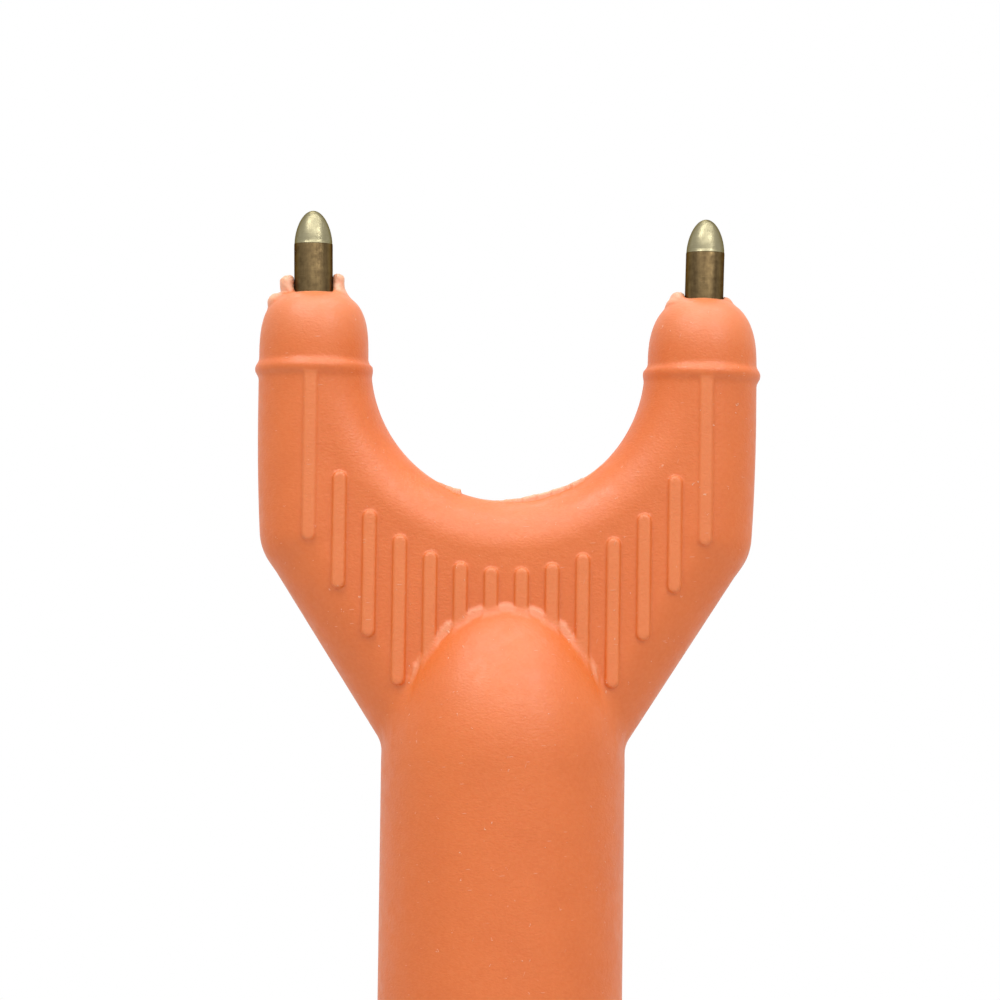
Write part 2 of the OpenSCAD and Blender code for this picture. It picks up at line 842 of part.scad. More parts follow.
// Side view of the trigger, as [out, up] from its pin
function trigger_outline() = concat(
    [[skin_out - trigger_sink, trigger_brow], [skin_out, -trigger_brow_drop]],
    [for (k = [0:pad_steps])
        let (t = k / pad_steps, up = pad_top + (trigger_foot + trigger_corner - pad_top) * t)
        [trigger_out - pad_dip * sin(180 * t), up]],
    [[trigger_out - trigger_corner, trigger_foot], [lip_out, trigger_foot], [lip_out, lip_foot],
        [lip_in, lip_foot], [lip_in, trigger_foot + lip_h],
        [trigger_back, trigger_foot + lip_h + lip_ramp],
        [trigger_back, -plunger_drop - 2 * press_half_h], [-press_in, -plunger_drop - press_half_h],
        [-press_in, -plunger_drop + press_half_h], [trigger_back, -plunger_drop + 2 * press_half_h],
        [trigger_back, 0]]);

module trigger() {
    color("DimGray")
        difference() {
            union() {
                translate([0, pivot_y, pivot_z])
                    rotate([0, 0, -90])
                        rotate([90, 0, 0])
                            linear_extrude(height = trigger_w, center = true)
                                polygon(trigger_outline());
                cross_bar(pivot_boss_r, -trigger_half_w, trigger_half_w, pivot_y, pivot_z);
                deep_bar(peg_r, trigger_back_y - overrun, trigger_back_y + peg_l, 0, spring_z);
            }
            cross_bar(trigger_pin_d / 2 + fit_gap, -trigger_w, trigger_w, pivot_y, pivot_z);
        }
}

module trigger_pin() {
    color("Silver")
        cross_bar(trigger_pin_d / 2, -pin_half_l, pin_half_l, pivot_y, pivot_z);
}

module trigger_spring() {
    color("Silver")
        translate([0, trigger_back_y + seat_gap, spring_z])
            rotate([-90, 0, 0])
                swept_tube(coil(trigger_spring_r, trigger_spring_r, trigger_wire_r, trigger_spring_l,
                    trigger_spring_turns), trigger_wire_r, coil_sides, [0, 0, 1]);
}

module switch_body() {
    floor_gap = 0.3;
    color("DarkSlateGray")
        difference() {
            block([-switch_w / 2, switch_front_y, plunger_z - switch_h / 2],
                [switch_w / 2, board_y0 - fit_gap, plunger_z + switch_h / 2]);
            deep_bar(plunger_r + fit_gap, switch_front_y - overrun,
                plunger_y + plunger_l + plunger_travel + floor_gap, 0, plunger_z);
        }
}

module switch_plunger() {
    color("Firebrick")
        deep_bar(plunger_r, plunger_y, plunger_y + plunger_l, 0, plunger_z);
}

module safety_slider() {
    groove_pitch = 2.4;
    top_y = housing_r + slider_proud;
    color("DimGray")
        difference() {
            union() {
                block([-slider_half_w, recess_y + seat_gap, slider_z - slider_half_h],
                    [slider_half_w, top_y, slider_z + slider_half_h]);
                block([-stem_half_w, keep_y1 - keep_t / 2, slider_z - stem_half_h],
                    [stem_half_w, recess_y + seat_gap + overrun, slider_z + stem_half_h]);
                block([-keep_half_w, keep_y1 - keep_t, slider_z - slider_half_h],
                    [keep_half_w, keep_y1, slider_z + slider_half_h]);
                block([-stem_tip_half_w, slide_switch_y1 - stem_dip, slider_z - stem_tip_half_h],
                    [stem_tip_half_w, keep_y1 - keep_t / 2, slider_z + stem_tip_half_h]);
            }
            for (k = [-1, 0, 1]) {
                groove_z = slider_z + k * groove_pitch;
                block([-slider_half_w - overrun, top_y - finger_groove_d, groove_z - finger_groove_w / 2],
                    [slider_half_w + overrun, top_y + overrun, groove_z + finger_groove_w / 2]);
            }
        }
}

module slide_switch() {
    floor_gap = 0.4;
    color("DarkSlateGray")
        difference() {
            block([-slide_switch_w / 2, board_y1 + fit_gap, slider_z - slide_switch_below],
                [slide_switch_w / 2, slide_switch_y1, slider_z + slide_switch_above]);
            block([-stem_tip_half_w - move_gap, slide_switch_y1 - stem_dip - floor_gap,
                    slider_z - stem_tip_half_h - move_gap],
                [stem_tip_half_w + move_gap, slide_switch_y1 + overrun,
                    slider_z + slider_travel + stem_tip_half_h + move_gap]);
        }
}

// Circuit

module circuit_board() {
    color("SeaGreen")
        block([-board_half_w, board_y0, board_z0], [board_half_w, board_y1, board_z1]);
}

module transformer_core() {
    color("DimGray")
        difference() {
            block([-core_half_w, core_y0, core_z0], [core_half_w, core_y0 + core_t, core_z1]);
            both_sides()
                block([core_leg_half_w, core_y0 - overrun, core_z0 + core_yoke],
                    [core_window_x, core_y0 + core_t + overrun, core_z1 - core_yoke]);
        }
}

module transformer_coil() {
    winding = 1.2;
    color("SaddleBrown")
        difference() {
            block([-core_window_x + slip_gap, board_y1 + fit_gap, core_z0 + core_yoke + slip_gap],
                [core_window_x - slip_gap, core_y0 + core_t + winding, core_z1 - core_yoke - slip_gap]);
            block([-core_leg_half_w - fit_gap, core_y0 - fit_gap, core_z0],
                [core_leg_half_w + fit_gap, core_y0 + core_t + fit_gap, core_z1]);
        }
}

module storage_capacitor() {
    can_r = 3.9;
    can_l = 10;
    can_x = -6.5;
    can_up = 2;
    can_z0 = board_z0 + can_up;
    edge = 0.6;
    color("RoyalBlue")
        translate([can_x, board_y0 - can_r - fit_gap, can_z0])
            rotate_extrude()
                polygon([[0, 0], [can_r - edge, 0], [can_r, edge], [can_r, can_l - edge],
                    [can_r - edge, can_l], [0, can_l]]);
}

module power_transistor() {
    body_w = 8;
    body_t = 3.4;
    body_h = 8;
    tab_t = 1;
    tab_h = 2.6;
    hole_r = 0.8;
    top_gap = 0.6;
    z0 = board_z1 - body_h - tab_h - top_gap;
    color("Black")
        difference() {
            union() {
                block([-body_w / 2, board_y0 - body_t, z0],
                    [body_w / 2, board_y0 - fit_gap, z0 + body_h]);
                block([-body_w / 2, board_y0 - tab_t, z0],
                    [body_w / 2, board_y0 - fit_gap, z0 + body_h + tab_h]);
            }
            deep_bar(hole_r, board_y0 - tab_t - overrun, board_y0 + overrun, 0, z0 + body_h + tab_h / 2);
        }
}

module lead_terminals() {
    color("Goldenrod")
        both_sides()
            translate([lead_x, board_mid_y, 0])
                round_bar(terminal_r, board_z1, board_z1 + terminal_h);
}

// Cells and contacts

module bulkhead() {
    color("WhiteSmoke")
        difference() {
            round_bar(chamber_r - slip_gap, bulkhead_z0, bulkhead_z1);
            translate([0, board_mid_y, 0])
                round_bar(stem_r + fit_gap, bulkhead_z0 - overrun, bulkhead_z1 + overrun);
            block([-strip_half_w - slip_gap, strip_y1 - strip_t - slip_gap, bulkhead_z0 - overrun],
                [strip_half_w + slip_gap, chamber_r + overrun, bulkhead_z1 + overrun]);
        }
}

module positive_contact() {
    plate_r = 6;
    color("Goldenrod") {
        round_bar(plate_r, bulkhead_z0 - contact_t, bulkhead_z0);
        translate([0, board_mid_y, 0])
            round_bar(stem_r, bulkhead_z0 - contact_t / 2, board_z0 - fit_gap);
    }
}

module negative_strip() {
    tab_z0 = bulkhead_z1 + fit_gap;
    color("Goldenrod") {
        block([-strip_half_w, strip_y1 - strip_t, cap_floor_z + contact_t + seat_gap],
            [strip_half_w, strip_y1, tab_z0 + strip_t]);
        block([-strip_half_w, board_y1 + fit_gap, tab_z0], [strip_half_w, strip_y1, tab_z0 + strip_t]);
    }
}

module cell(z0) {
    edge = 0.8;
    button_r = 3.4;
    can_z1 = z0 + cell_l - cell_button_h;
    rotate_extrude()
        polygon([[0, z0], [cell_r - edge, z0], [cell_r, z0 + edge], [cell_r, can_z1 - edge],
            [cell_r - edge, can_z1], [button_r, can_z1], [button_r, z0 + cell_l], [0, z0 + cell_l]]);
}

module battery_cell_lower() {
    color("SteelBlue")
        cell(cell_z0);
}

module battery_cell_upper() {
    color("SteelBlue")
        cell(cell_z1);
}

module battery_spring() {
    color("Silver")
        translate([0, 0, cap_floor_z + contact_t + fit_gap])
            swept_tube(coil(battery_spring_r0, battery_spring_r1, battery_wire_r,
                battery_spring_l - seat_gap, battery_spring_turns),
                battery_wire_r, coil_sides, [0, 0, 1]);
}

module cap_contact() {
    color("Goldenrod")
        round_bar(strip_y1 + overrun, cap_floor_z, cap_floor_z + contact_t);
}

module cap_seal() {
    color("Black")
        translate([0, 0, cap_z1 + seat_gap + seal_d / 2])
            rotate_extrude()
                translate([shell_r + seat_gap + seal_d / 2, 0])
                    circle(d = seal_d);
}

module end_cap() {
    edge = 1.2;
    flutes = 24;
    flute_r = 1.5;
    flute_out = 0.7;
    flute_z0 = cap_floor_z;
    lanyard_z = foot_pad_h + cap_base_h / 2;
    color("DimGray") {
        difference() {
            rotate_extrude()
                polygon([[0, foot_pad_h], [cap_r - edge, foot_pad_h], [cap_r, foot_pad_h + edge],
                    [cap_r, cap_z1 - edge], [cap_r - edge, cap_z1], [0, cap_z1]]);
            round_bar(shell_r + slip_gap, cap_floor_z, cap_z1 + overrun);
            cross_bar(lanyard_d / 2, -cap_d, cap_d, 0, lanyard_z);
            for (k = [0:flutes - 1])
                rotate([0, 0, 360 * (k + 0.5) / flutes])
                    translate([cap_r + flute_out, 0, 0])
                        round_bar(flute_r, flute_z0, cap_z1 + overrun);
        }
        for (a = [0, 180])
            rotate([0, 0, a])
                intersection() {
                    pipe(shell_r + slip_gap + overrun, lug_r, lug_z0, lug_z0 + lug_h);
                    sector(lug_reach, -lug_half_angle, lug_half_angle, lug_z0, lug_z0 + lug_h);
                }
    }
}

module foot_pad() {
    edge = 0.8;
    pad_inset = 1.4;
    pad_r = cap_r - pad_inset;
    color("Black")
        rotate_extrude()
            polygon([[0, 0], [pad_r - edge, 0], [pad_r, edge], [pad_r, foot_pad_h], [0, foot_pad_h]]);
}

prod_head();
electrode_left();
electrode_right();
electrode_crimps();
lead_left();
lead_right();
lead_spacers();
shaft_tube();
gland_ring();
collar_nut();
handle_shell_left();
handle_shell_right();
shell_screws();
grip_sleeve();
trigger();
trigger_pin();
trigger_spring();
switch_body();
switch_plunger();
safety_slider();
slide_switch();
circuit_board();
transformer_core();
transformer_coil();
storage_capacitor();
power_transistor();
lead_terminals();
bulkhead();
positive_contact();
negative_strip();
battery_cell_lower();
battery_cell_upper();
battery_spring();
cap_contact();
cap_seal();
end_cap();
foot_pad();
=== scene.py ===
"""The looks of the cattle prodder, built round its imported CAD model.

The forked head is one soft moulding: its sizes make a distance field, and the field makes the mesh. The
electrodes, the grip sleeve, the springs, the leads and the winding are new meshes too. The other pieces are
the CAD solids with materials of their own. Shapes are worked out in millimetres and made in metres.
"""

import json
import math

import bpy
import numpy as np
import openvdb
from mathutils import Matrix, Vector


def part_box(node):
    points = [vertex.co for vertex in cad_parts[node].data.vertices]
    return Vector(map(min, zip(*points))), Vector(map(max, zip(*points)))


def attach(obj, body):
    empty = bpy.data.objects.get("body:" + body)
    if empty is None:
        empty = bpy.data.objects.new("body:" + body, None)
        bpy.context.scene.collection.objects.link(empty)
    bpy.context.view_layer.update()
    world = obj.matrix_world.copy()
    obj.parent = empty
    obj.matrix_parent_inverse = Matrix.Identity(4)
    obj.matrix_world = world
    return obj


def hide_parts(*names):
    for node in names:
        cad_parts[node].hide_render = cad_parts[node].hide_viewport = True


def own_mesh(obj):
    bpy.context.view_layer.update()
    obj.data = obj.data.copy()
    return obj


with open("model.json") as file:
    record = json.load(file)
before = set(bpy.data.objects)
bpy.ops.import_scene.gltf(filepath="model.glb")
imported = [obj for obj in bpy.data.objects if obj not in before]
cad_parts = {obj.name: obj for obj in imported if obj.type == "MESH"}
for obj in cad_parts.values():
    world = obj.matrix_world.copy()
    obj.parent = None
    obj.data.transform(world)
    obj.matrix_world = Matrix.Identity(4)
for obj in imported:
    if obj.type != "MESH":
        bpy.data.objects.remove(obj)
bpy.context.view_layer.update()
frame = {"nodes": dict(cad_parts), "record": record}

MM = 0.001


def box_mm(node):
    """A node's lowest and highest corners in millimetres."""
    return [np.array(corner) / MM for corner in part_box(node)]


# Sizes that the CAD boxes don't give, repeated from the part's source
BEAD_PROUD = 0.4
NOSE_L = 7.3
FORK_DROP = 18.5
TAPER = math.radians(32.5)
EDGE_STEP = 0.15
SEAT_GAP = 0.1
FIT_GAP = 0.05
RIB_COUNT = 7
RIB_W = 1.35
RIB_EDGE_GAP = 4.5
TAPER_END_SHARE = 0.34
PIN_R = 2.0
FLANGE_R = 3.3
FLANGE_T = 1.4
LEAD_R = 1.3
LEAD_X = 4.2
LEAD_STRAIGHT = 1.2
CHANNEL_GAP = 0.25
LEAD_ROOM = 8.0

# Sizes that follow the photo more closely than the solids do; -1 is the left prong and 1 the right one
NOSE_POWERS = {-1: 3.2, 1: 2.6}
BEAD_W = 1.3
BEAD_H = -0.8
WEB_TOP_H = -0.6
GAP_TRIM = 0.3
DRAFT_TOP_H = -5.0
CORNER_DRAFT = 0.36
SLOPE_TRIM = 0.07
DOME_L = 17.6
RIB_PITCH = 3.115
RIB_TOP_GAP = 5.5
RIB_DROP = 1.3
RIB_PROUD = 0.24
PIN_TIP_L = 3.5
PIN_DROPS = {-1: 0.28, 1: 0.58}
PIN_LEAN = 0.018

# Reaches of the fillets where the head's forms meet
WEB_FILLET = 0.3
BEAD_FILLET = 0.5
RIB_FILLET = 0.22
DOME_FILLET = 0.6
SHOULDER_FILLET = 2.2
LUMP_FILLET = 0.7
FILM_FILLET = 0.22
MOUTH_FILLET = 1.0

# How many sides the round meshes have
WIRE_SIDES = 10
LEAD_SIDES = 16
PIN_SIDES = 64
GRIP_SIDES = 96
FLOOR_SIDES = 96

# Sizes of the head, from the boxes; heights are over the centre of the gap between the prongs
HEAD_LOW, HEAD_HIGH = box_mm("prod_head")
PIN_LOW, PIN_HIGH = box_mm("electrode_right")
SHAFT_LOW, SHAFT_HIGH = box_mm("shaft_tube")
CRIMP_LOW, CRIMP_HIGH = box_mm("electrode_crimps")
FORK_Z = HEAD_HIGH[2] - NOSE_L
PIN_X = (PIN_LOW[0] + PIN_HIGH[0]) / 2
BARREL_R = HEAD_HIGH[1]
FORK_HALF_W = HEAD_HIGH[0] - BEAD_PROUD
ARM_R = FORK_HALF_W - PIN_X
EDGE_R = ARM_R - EDGE_STEP
GAP_R = PIN_X - ARM_R
RIM_R = GAP_R - GAP_TRIM + EDGE_R
SOCKET_R = SHAFT_HIGH[0] + FIT_GAP
MOUTH_H = HEAD_LOW[2] - FORK_Z
DOME_H = SHAFT_HIGH[2] + SEAT_GAP - FORK_Z
CORNER_H = -FORK_DROP
CORNER_MID_H = CORNER_H + (EDGE_R - ARM_R * math.cos(TAPER)) / math.sin(TAPER)
TAPER_END_H = CORNER_MID_H - (PIN_X - BARREL_R * TAPER_END_SHARE) / math.tan(TAPER)
BEND_X = PIN_X - CORNER_DRAFT
BEND_H = CORNER_MID_H - (CORNER_DRAFT - SLOPE_TRIM) / math.tan(TAPER)
PRONG_END_H = BEND_H + EDGE_STEP / math.sin(TAPER)
ROOT_H = PIN_LOW[2] - FORK_Z
CRIMP_H = CRIMP_LOW[2] - FORK_Z
CRIMP_R = CRIMP_HIGH[0] - PIN_X

# Pieces that a finger works, with the step of the mesh that rounds their edges
ROUNDED = {"trigger": 0.28, "safety_slider": 0.16}

# Flash beside the electrodes: the pin's x, and a centre over the nose's end and radii for each lump
LUMPS = [
    (-PIN_X, (-2.8, 0.15, 1.1), (0.82, 0.9, 0.62)),
    (-PIN_X, (-2.75, 0.15, 0.3), (0.80, 1.0, 0.6)),
    (-PIN_X, (-3.85, 0.2, -0.95), (1.0, 1.3, 0.75)),
    (-PIN_X, (2.4, 0.3, 1.4), (0.68, 0.8, 0.58)),
    (-PIN_X, (2.35, 0.25, 0.5), (0.70, 0.9, 0.7)),
    (-PIN_X, (2.55, 0.3, -0.35), (0.75, 1.2, 0.6)),
    (PIN_X, (-2.55, 0.3, -0.1), (0.75, 1.2, 0.7)),
    (PIN_X, (-2.95, 0.3, -0.75), (0.75, 1.2, 0.6)),
    (PIN_X, (2.4, 0.4, -0.35), (0.50, 0.9, 0.45)),
]


# Distance fields

def soft_min(a, b, reach):
    """The nearer of two fields, with a fillet where they meet."""
    near = np.maximum(reach - np.abs(a - b), 0)
    return np.minimum(a, b) - near * near / (4 * reach)


def soft_max(a, b, reach):
    """Where two fields overlap, with the shared edge rounded."""
    return -soft_min(-a, -b, reach)


def ragged(t, phase):
    """A fixed uneven wave from -1 to 1 along t."""
    return (0.5 * np.sin(1.7 * t + phase) + 0.3 * np.sin(4.1 * t + 2.3 * phase)
            + 0.2 * np.sin(9.7 * t + 3.1 * phase))


def hump(t, middle, reach):
    """A smooth hump of height 1 over a middle."""
    return np.exp(-((t - middle) / reach) ** 2)


def bullet(rho, up, radius, height, power):
    """About the distance to a round bar whose end, above up 0, is a superellipse of that height."""
    least_size, least_slope = 0.01, 0.02
    u = rho / radius
    v = np.maximum(up, 0) / height
    size = np.maximum((u ** power + v ** power) ** (1 / power), least_size)
    slope = np.hypot((u / size) ** (power - 1) / radius, (v / size) ** (power - 1) / height)
    return (size - 1) / np.maximum(slope, least_slope)


def edge_draft(h):
    """How far the prongs' outer edges have come in at a height: none at the top, the most at the corner."""
    share = np.clip((h - DRAFT_TOP_H) / (BEND_H - DRAFT_TOP_H), 0, 1)
    return CORNER_DRAFT * share * share


def fork_sheet(x, h):
    """Distance in the fork's middle plane from the sheet that the fork is a rounded shell of."""
    side = x - PIN_X + edge_draft(h)
    across, rise = x - BEND_X, h - BEND_H
    slope = across * math.cos(TAPER) - rise * math.sin(TAPER)
    along = across * math.sin(TAPER) + rise * math.cos(TAPER)
    edge = np.where((rise < 0) & (along > 0), np.hypot(across, rise), np.maximum(side, slope))
    gap = RIM_R - np.hypot(x, h)
    return np.maximum(np.maximum(edge, gap), TAPER_END_H - h)


def rib_ends(i):
    """Where rib i of a half stands: its x, foot and top."""
    x = (i + 0.5) * RIB_PITCH
    top_r = GAP_R + RIB_TOP_GAP
    inset = RIB_EDGE_GAP / math.cos(TAPER)
    on_prong = x > PIN_X - RIB_PITCH / 2
    top = BEAD_H if on_prong else -math.sqrt(top_r * top_r - x * x) - RIB_DROP
    foot = max(CORNER_H - (FORK_HALF_W - inset - x) / math.tan(TAPER), DOME_H)
    return x, foot, top


def rib_field(x, h):
    """Distance in the plane of the face from the nearest rib's outline."""
    half = RIB_W / 2
    nearest = None
    for rib_x, foot, top in map(rib_ends, range(RIB_COUNT)):
        apart = np.hypot(x - rib_x, h - np.clip(h, foot + half, top - half)) - half
        nearest = apart if nearest is None else np.minimum(nearest, apart)
    return nearest


def lead_route():
    """The lead's way through the head on the right, as x and height."""
    stops = 13
    t = np.linspace(0, 1, stops)
    ease = t * t * (3 - 2 * t)
    top = CRIMP_H - LEAD_STRAIGHT
    route = np.column_stack([LEAD_X + (PIN_X - LEAD_X) * ease, DOME_H + (top - DOME_H) * t])
    return np.vstack([route, [PIN_X, CRIMP_H]])


def route_field(x, h):
    """Distance in the middle plane from the lead's way."""
    nearest = None
    route = lead_route()
    for (ax, ah), (bx, bh) in zip(route, route[1:]):
        span = (bx - ax) ** 2 + (bh - ah) ** 2
        t = np.clip(((x - ax) * (bx - ax) + (h - ah) * (bh - ah)) / span, 0, 1)
        apart = np.hypot(x - ax - t * (bx - ax), h - ah - t * (bh - ah))
        nearest = apart if nearest is None else np.minimum(nearest, apart)
    return nearest


def fork_field(x, y, h):
    """The prongs and the web between them."""
    rho = np.hypot(np.abs(x) - PIN_X + edge_draft(h), y)
    below = np.minimum(h - PRONG_END_H, 0)
    power = np.where(x < 0, NOSE_POWERS[-1], NOSE_POWERS[1])
    prong = bullet(np.hypot(rho, below), h, ARM_R, NOSE_L, power)
    web = np.hypot(np.maximum(fork_sheet(np.abs(x), h), 0), y) - EDGE_R
    web = np.maximum(web, h - WEB_TOP_H)
    ring_r = ARM_R + BEAD_PROUD - BEAD_W / 2
    bead = np.hypot(rho - ring_r, h - BEAD_H) - BEAD_W / 2
    return soft_min(soft_min(prong, web, WEB_FILLET), bead, BEAD_FILLET)


def barrel_field(x, y, h):
    """The barrel and its domed end."""
    return bullet(np.hypot(x, y), h - DOME_H, BARREL_R, DOME_L, power=2)


def film_field(x, y, h, fork, barrel):
    """The thin torn film of flash on the face along the dome, widest in flakes between the ribs."""
    thickness, thinning, thin_l, edge_round = 0.32, 0.2, 0.8, 0.12
    film_w, flake_w, flake_x, flake_reach = 0.36, 0.34, 4.9, 1.9
    foot_h, fade_l = DOME_H + 10.0, 3.0
    phase = np.where(y < 0, 1.9, 4.5)
    between_ribs = np.sqrt(np.maximum(np.cos(2 * math.pi * x / RIB_PITCH), 0))
    flakes = 0.05 + flake_w * hump(np.abs(x), flake_x, flake_reach) + 0.08 * ragged(2.4 * x, phase)
    width = film_w + 0.12 * ragged(1.5 * x + 0.6 * h, phase) + (0.6 + 0.4 * between_ribs) * flakes
    fade = np.clip((h - foot_h) / fade_l, -2, 0)
    top = fork - thickness + thinning * np.clip(barrel, 0, thin_l)
    return soft_max(barrel - width - 0.5 * fade, top, edge_round)


def blob(x, y, h, centre, radii):
    """About the distance to an ellipsoid."""
    size = np.sqrt(sum(((at - c) / r) ** 2 for at, c, r in zip((x, y, h), centre, radii)))
    return (size - 1) * min(radii)


def lump_field(x, y, h):
    """The torn lumps of flash beside each electrode's hole."""
    joined, unevenness = 0.5, 0.06
    lumps = None
    for pin_x, centre, radii in LUMPS:
        apart = blob(x - pin_x, y, h - NOSE_L, centre, radii)
        lumps = apart if lumps is None else soft_min(lumps, apart, joined)
    return lumps + unevenness * ragged(2.3 * x + 1.7 * y + 2.0 * h, 0.4)


def gate_field(x, y, h):
    """The torn stub of the gate at the bottom of the gap, and the ragged film to its left."""
    stub_h, stub_x, stub_reach = 1.05, 3.8, 7.0
    film_h, film_x, film_fall = 0.36, -4.7, 0.15
    sunk, root_l, edge_round = 0.6, 2.0, 0.25
    middle_y, half_w = 0.5, 1.9
    above = GAP_R - GAP_TRIM - np.hypot(x, h)
    stub = stub_h * hump(x, stub_x, stub_reach) - sunk
    film = np.where(x < film_x, film_h + film_fall * (x - film_x), -sunk)
    lift = np.maximum(stub, film) + 0.05 * ragged(1.6 * x, 0.7)
    across = np.abs(y - middle_y) - half_w - 0.25 * ragged(0.9 * x, 3.3)
    return np.maximum(soft_max(above - lift, across, edge_round), np.maximum(h, -above - root_l))


def hollow_field(x, y, h):
    """The socket for the shaft, the ways of the leads and the holes of the electrodes."""
    rho = np.hypot(np.abs(x) - PIN_X, y)
    socket = np.maximum(np.hypot(x, y) - SOCKET_R, h - DOME_H)
    lead = np.hypot(route_field(np.abs(x), h), y) - LEAD_R - CHANNEL_GAP
    crimp = np.maximum(rho - CRIMP_R - FIT_GAP, np.maximum(CRIMP_H - h, h - ROOT_H))
    leaning = np.hypot(np.abs(x) - PIN_X - PIN_LEAN * np.maximum(h, 0), y)
    pin = np.maximum(leaning - PIN_R - FIT_GAP, ROOT_H - h)
    flange = np.maximum(rho - FLANGE_R - FIT_GAP, np.abs(h) - FLANGE_T / 2 - FIT_GAP)
    return np.minimum(np.minimum(socket, lead), np.minimum(np.minimum(crimp, pin), flange))


def body_field(x, y, h, fork, barrel):
    """The head without its hollows and its flash, with a parting line round its middle plane."""
    parting_h, parting_w = 0.05, 0.25
    shoulder_h, shoulder_l = DOME_H + 9.0, 7.0
    side_y, side_l = 2.0, 3.0
    rib = soft_max(rib_field(np.abs(x), h), np.abs(y) - ARM_R - RIB_PROUD, RIB_FILLET)
    shoulder = np.clip((shoulder_h - h) / shoulder_l, 0, 1) * np.clip((np.abs(y) - side_y) / side_l, 0, 1)
    fillet = DOME_FILLET + (SHOULDER_FILLET - DOME_FILLET) * shoulder
    return soft_min(soft_min(fork, rib, RIB_FILLET), barrel, fillet) - parting_h * hump(y, 0, parting_w)


def head_field(x, y, h):
    """The whole head: below 0 inside it, above 0 outside, in millimetres."""
    fork = fork_field(x, y, h)
    barrel = barrel_field(x, y, h)
    body = body_field(x, y, h, fork, barrel)
    film = np.minimum(film_field(x, y, h, fork, barrel), gate_field(x, y, h))
    whole = soft_min(soft_min(body, lump_field(x, y, h), LUMP_FILLET), film, FILM_FILLET)
    return np.maximum(soft_max(whole, MOUTH_H - h, MOUTH_FILLET), -hollow_field(x, y, h))


# Meshes

def planes(stops, steps):
    """Grid planes from the first stop to the last, with one step for each stretch between stops."""
    stretches = [np.arange(a, b - s / 2, s) for a, b, s in zip(stops, stops[1:], steps)]
    return np.concatenate([*stretches, stops[-1:]]).astype(np.float32)


def slope_of(field, points):
    """The field's slope at each point."""
    reach = 0.02
    parts = []
    for axis in np.eye(3) * reach:
        parts.append((field(*(points + axis).T) - field(*(points - axis).T)) / (2 * reach))
    return np.column_stack(parts)


def settle(field, points):
    """Moves points that are near a field's surface on to it."""
    rounds, most, least_slope = 3, 0.15, 0.05
    for _ in range(rounds):
        slope = slope_of(field, points)
        size = np.maximum((slope ** 2).sum(1), least_slope)
        step = np.clip(field(*points.T) / size, -most, most)
        points = points - step[:, None] * slope
    return points


def mesh_field(field, xs, ys, hs):
    """Points and quads of a field's surface."""
    values = field(xs[:, None, None], ys[None, :, None], hs[None, None, :]).astype(np.float32)
    grid = openvdb.FloatGrid(float(values.max()))
    grid.copyFromArray(values)
    places, quads = grid.convertToQuads()
    points = np.column_stack([np.interp(places[:, i], np.arange(len(axis)), axis)
                              for i, axis in enumerate((xs, ys, hs))])
    return settle(field, points.astype(float)), quads


def lathe(profile, segments):
    """Points and faces of a (radius, height) profile turned about Z. Its ends are on the axis or meet."""
    points, rows = [], []
    for r, h in profile:
        turns = 1 if r == 0 else segments
        rows.append([len(points) + k % turns for k in range(segments)])
        for k in range(turns):
            a = 2 * math.pi * k / segments
            points.append((r * math.cos(a), r * math.sin(a), h))
    faces = []
    for low, high in zip(rows, rows[1:]):
        for k in range(segments):
            n = (k + 1) % segments
            corners = [low[k], low[n], high[n], high[k]]
            faces.append(tuple(dict.fromkeys(corners)))
    return np.array(points), faces


def ring_faces(rows, sides):
    """Quads between rows of points that each go round once."""
    faces = []
    for low in range(0, (rows - 1) * sides, sides):
        high = low + sides
        for k in range(sides):
            n = (k + 1) % sides
            faces.append((low + k, low + n, high + n, high + k))
    return faces


def tube(path, radius, sides):
    """Points and faces of a round wire along a path, with rounded ends."""
    path = np.array(path, float)
    ahead = np.gradient(path, axis=0)
    ahead /= np.linalg.norm(ahead, axis=1)[:, None]
    side = np.cross(ahead[0], np.eye(3)[np.argmin(np.abs(ahead[0]))])
    stations = []
    for centre, along in zip(path, ahead):
        side = side - along * (side @ along)
        side /= np.linalg.norm(side)
        stations.append((centre, along, side, np.cross(along, side)))
    end_l = 0.6 * radius
    bulge = [(-1, 0.35), (-0.7, 0.75), (0, 1)]
    first = [(stations[0], out, share) for out, share in bulge]
    last = [(stations[-1], -out, share) for out, share in reversed(bulge)]
    rings = first + [(station, 0, 1) for station in stations[1:-1]] + last
    angles = [2 * math.pi * k / sides for k in range(sides)]
    points = [centre + along * out * end_l + radius * share * (math.cos(a) * u + math.sin(a) * w)
              for (centre, along, u, w), out, share in rings for a in angles]
    start_cap = tuple(range(sides))[::-1]
    end_cap = tuple(range(len(points) - sides, len(points)))
    return np.array(points), ring_faces(len(rings), sides) + [start_cap, end_cap]


def make_piece(name, points_mm, faces, body, slot, node):
    """A smooth mesh piece in a slot's material that rides on a body and stands for a CAD node."""
    mesh = bpy.data.meshes.new(name)
    mesh.from_pydata((np.array(points_mm) * MM).tolist(), [], [tuple(map(int, f)) for f in faces])
    mesh.shade_smooth()
    mesh.materials.append(MATERIALS[slot])
    piece = bpy.data.objects.new(name, mesh)
    bpy.context.scene.collection.objects.link(piece)
    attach(piece, body)
    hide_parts(node)
    return piece


# Materials

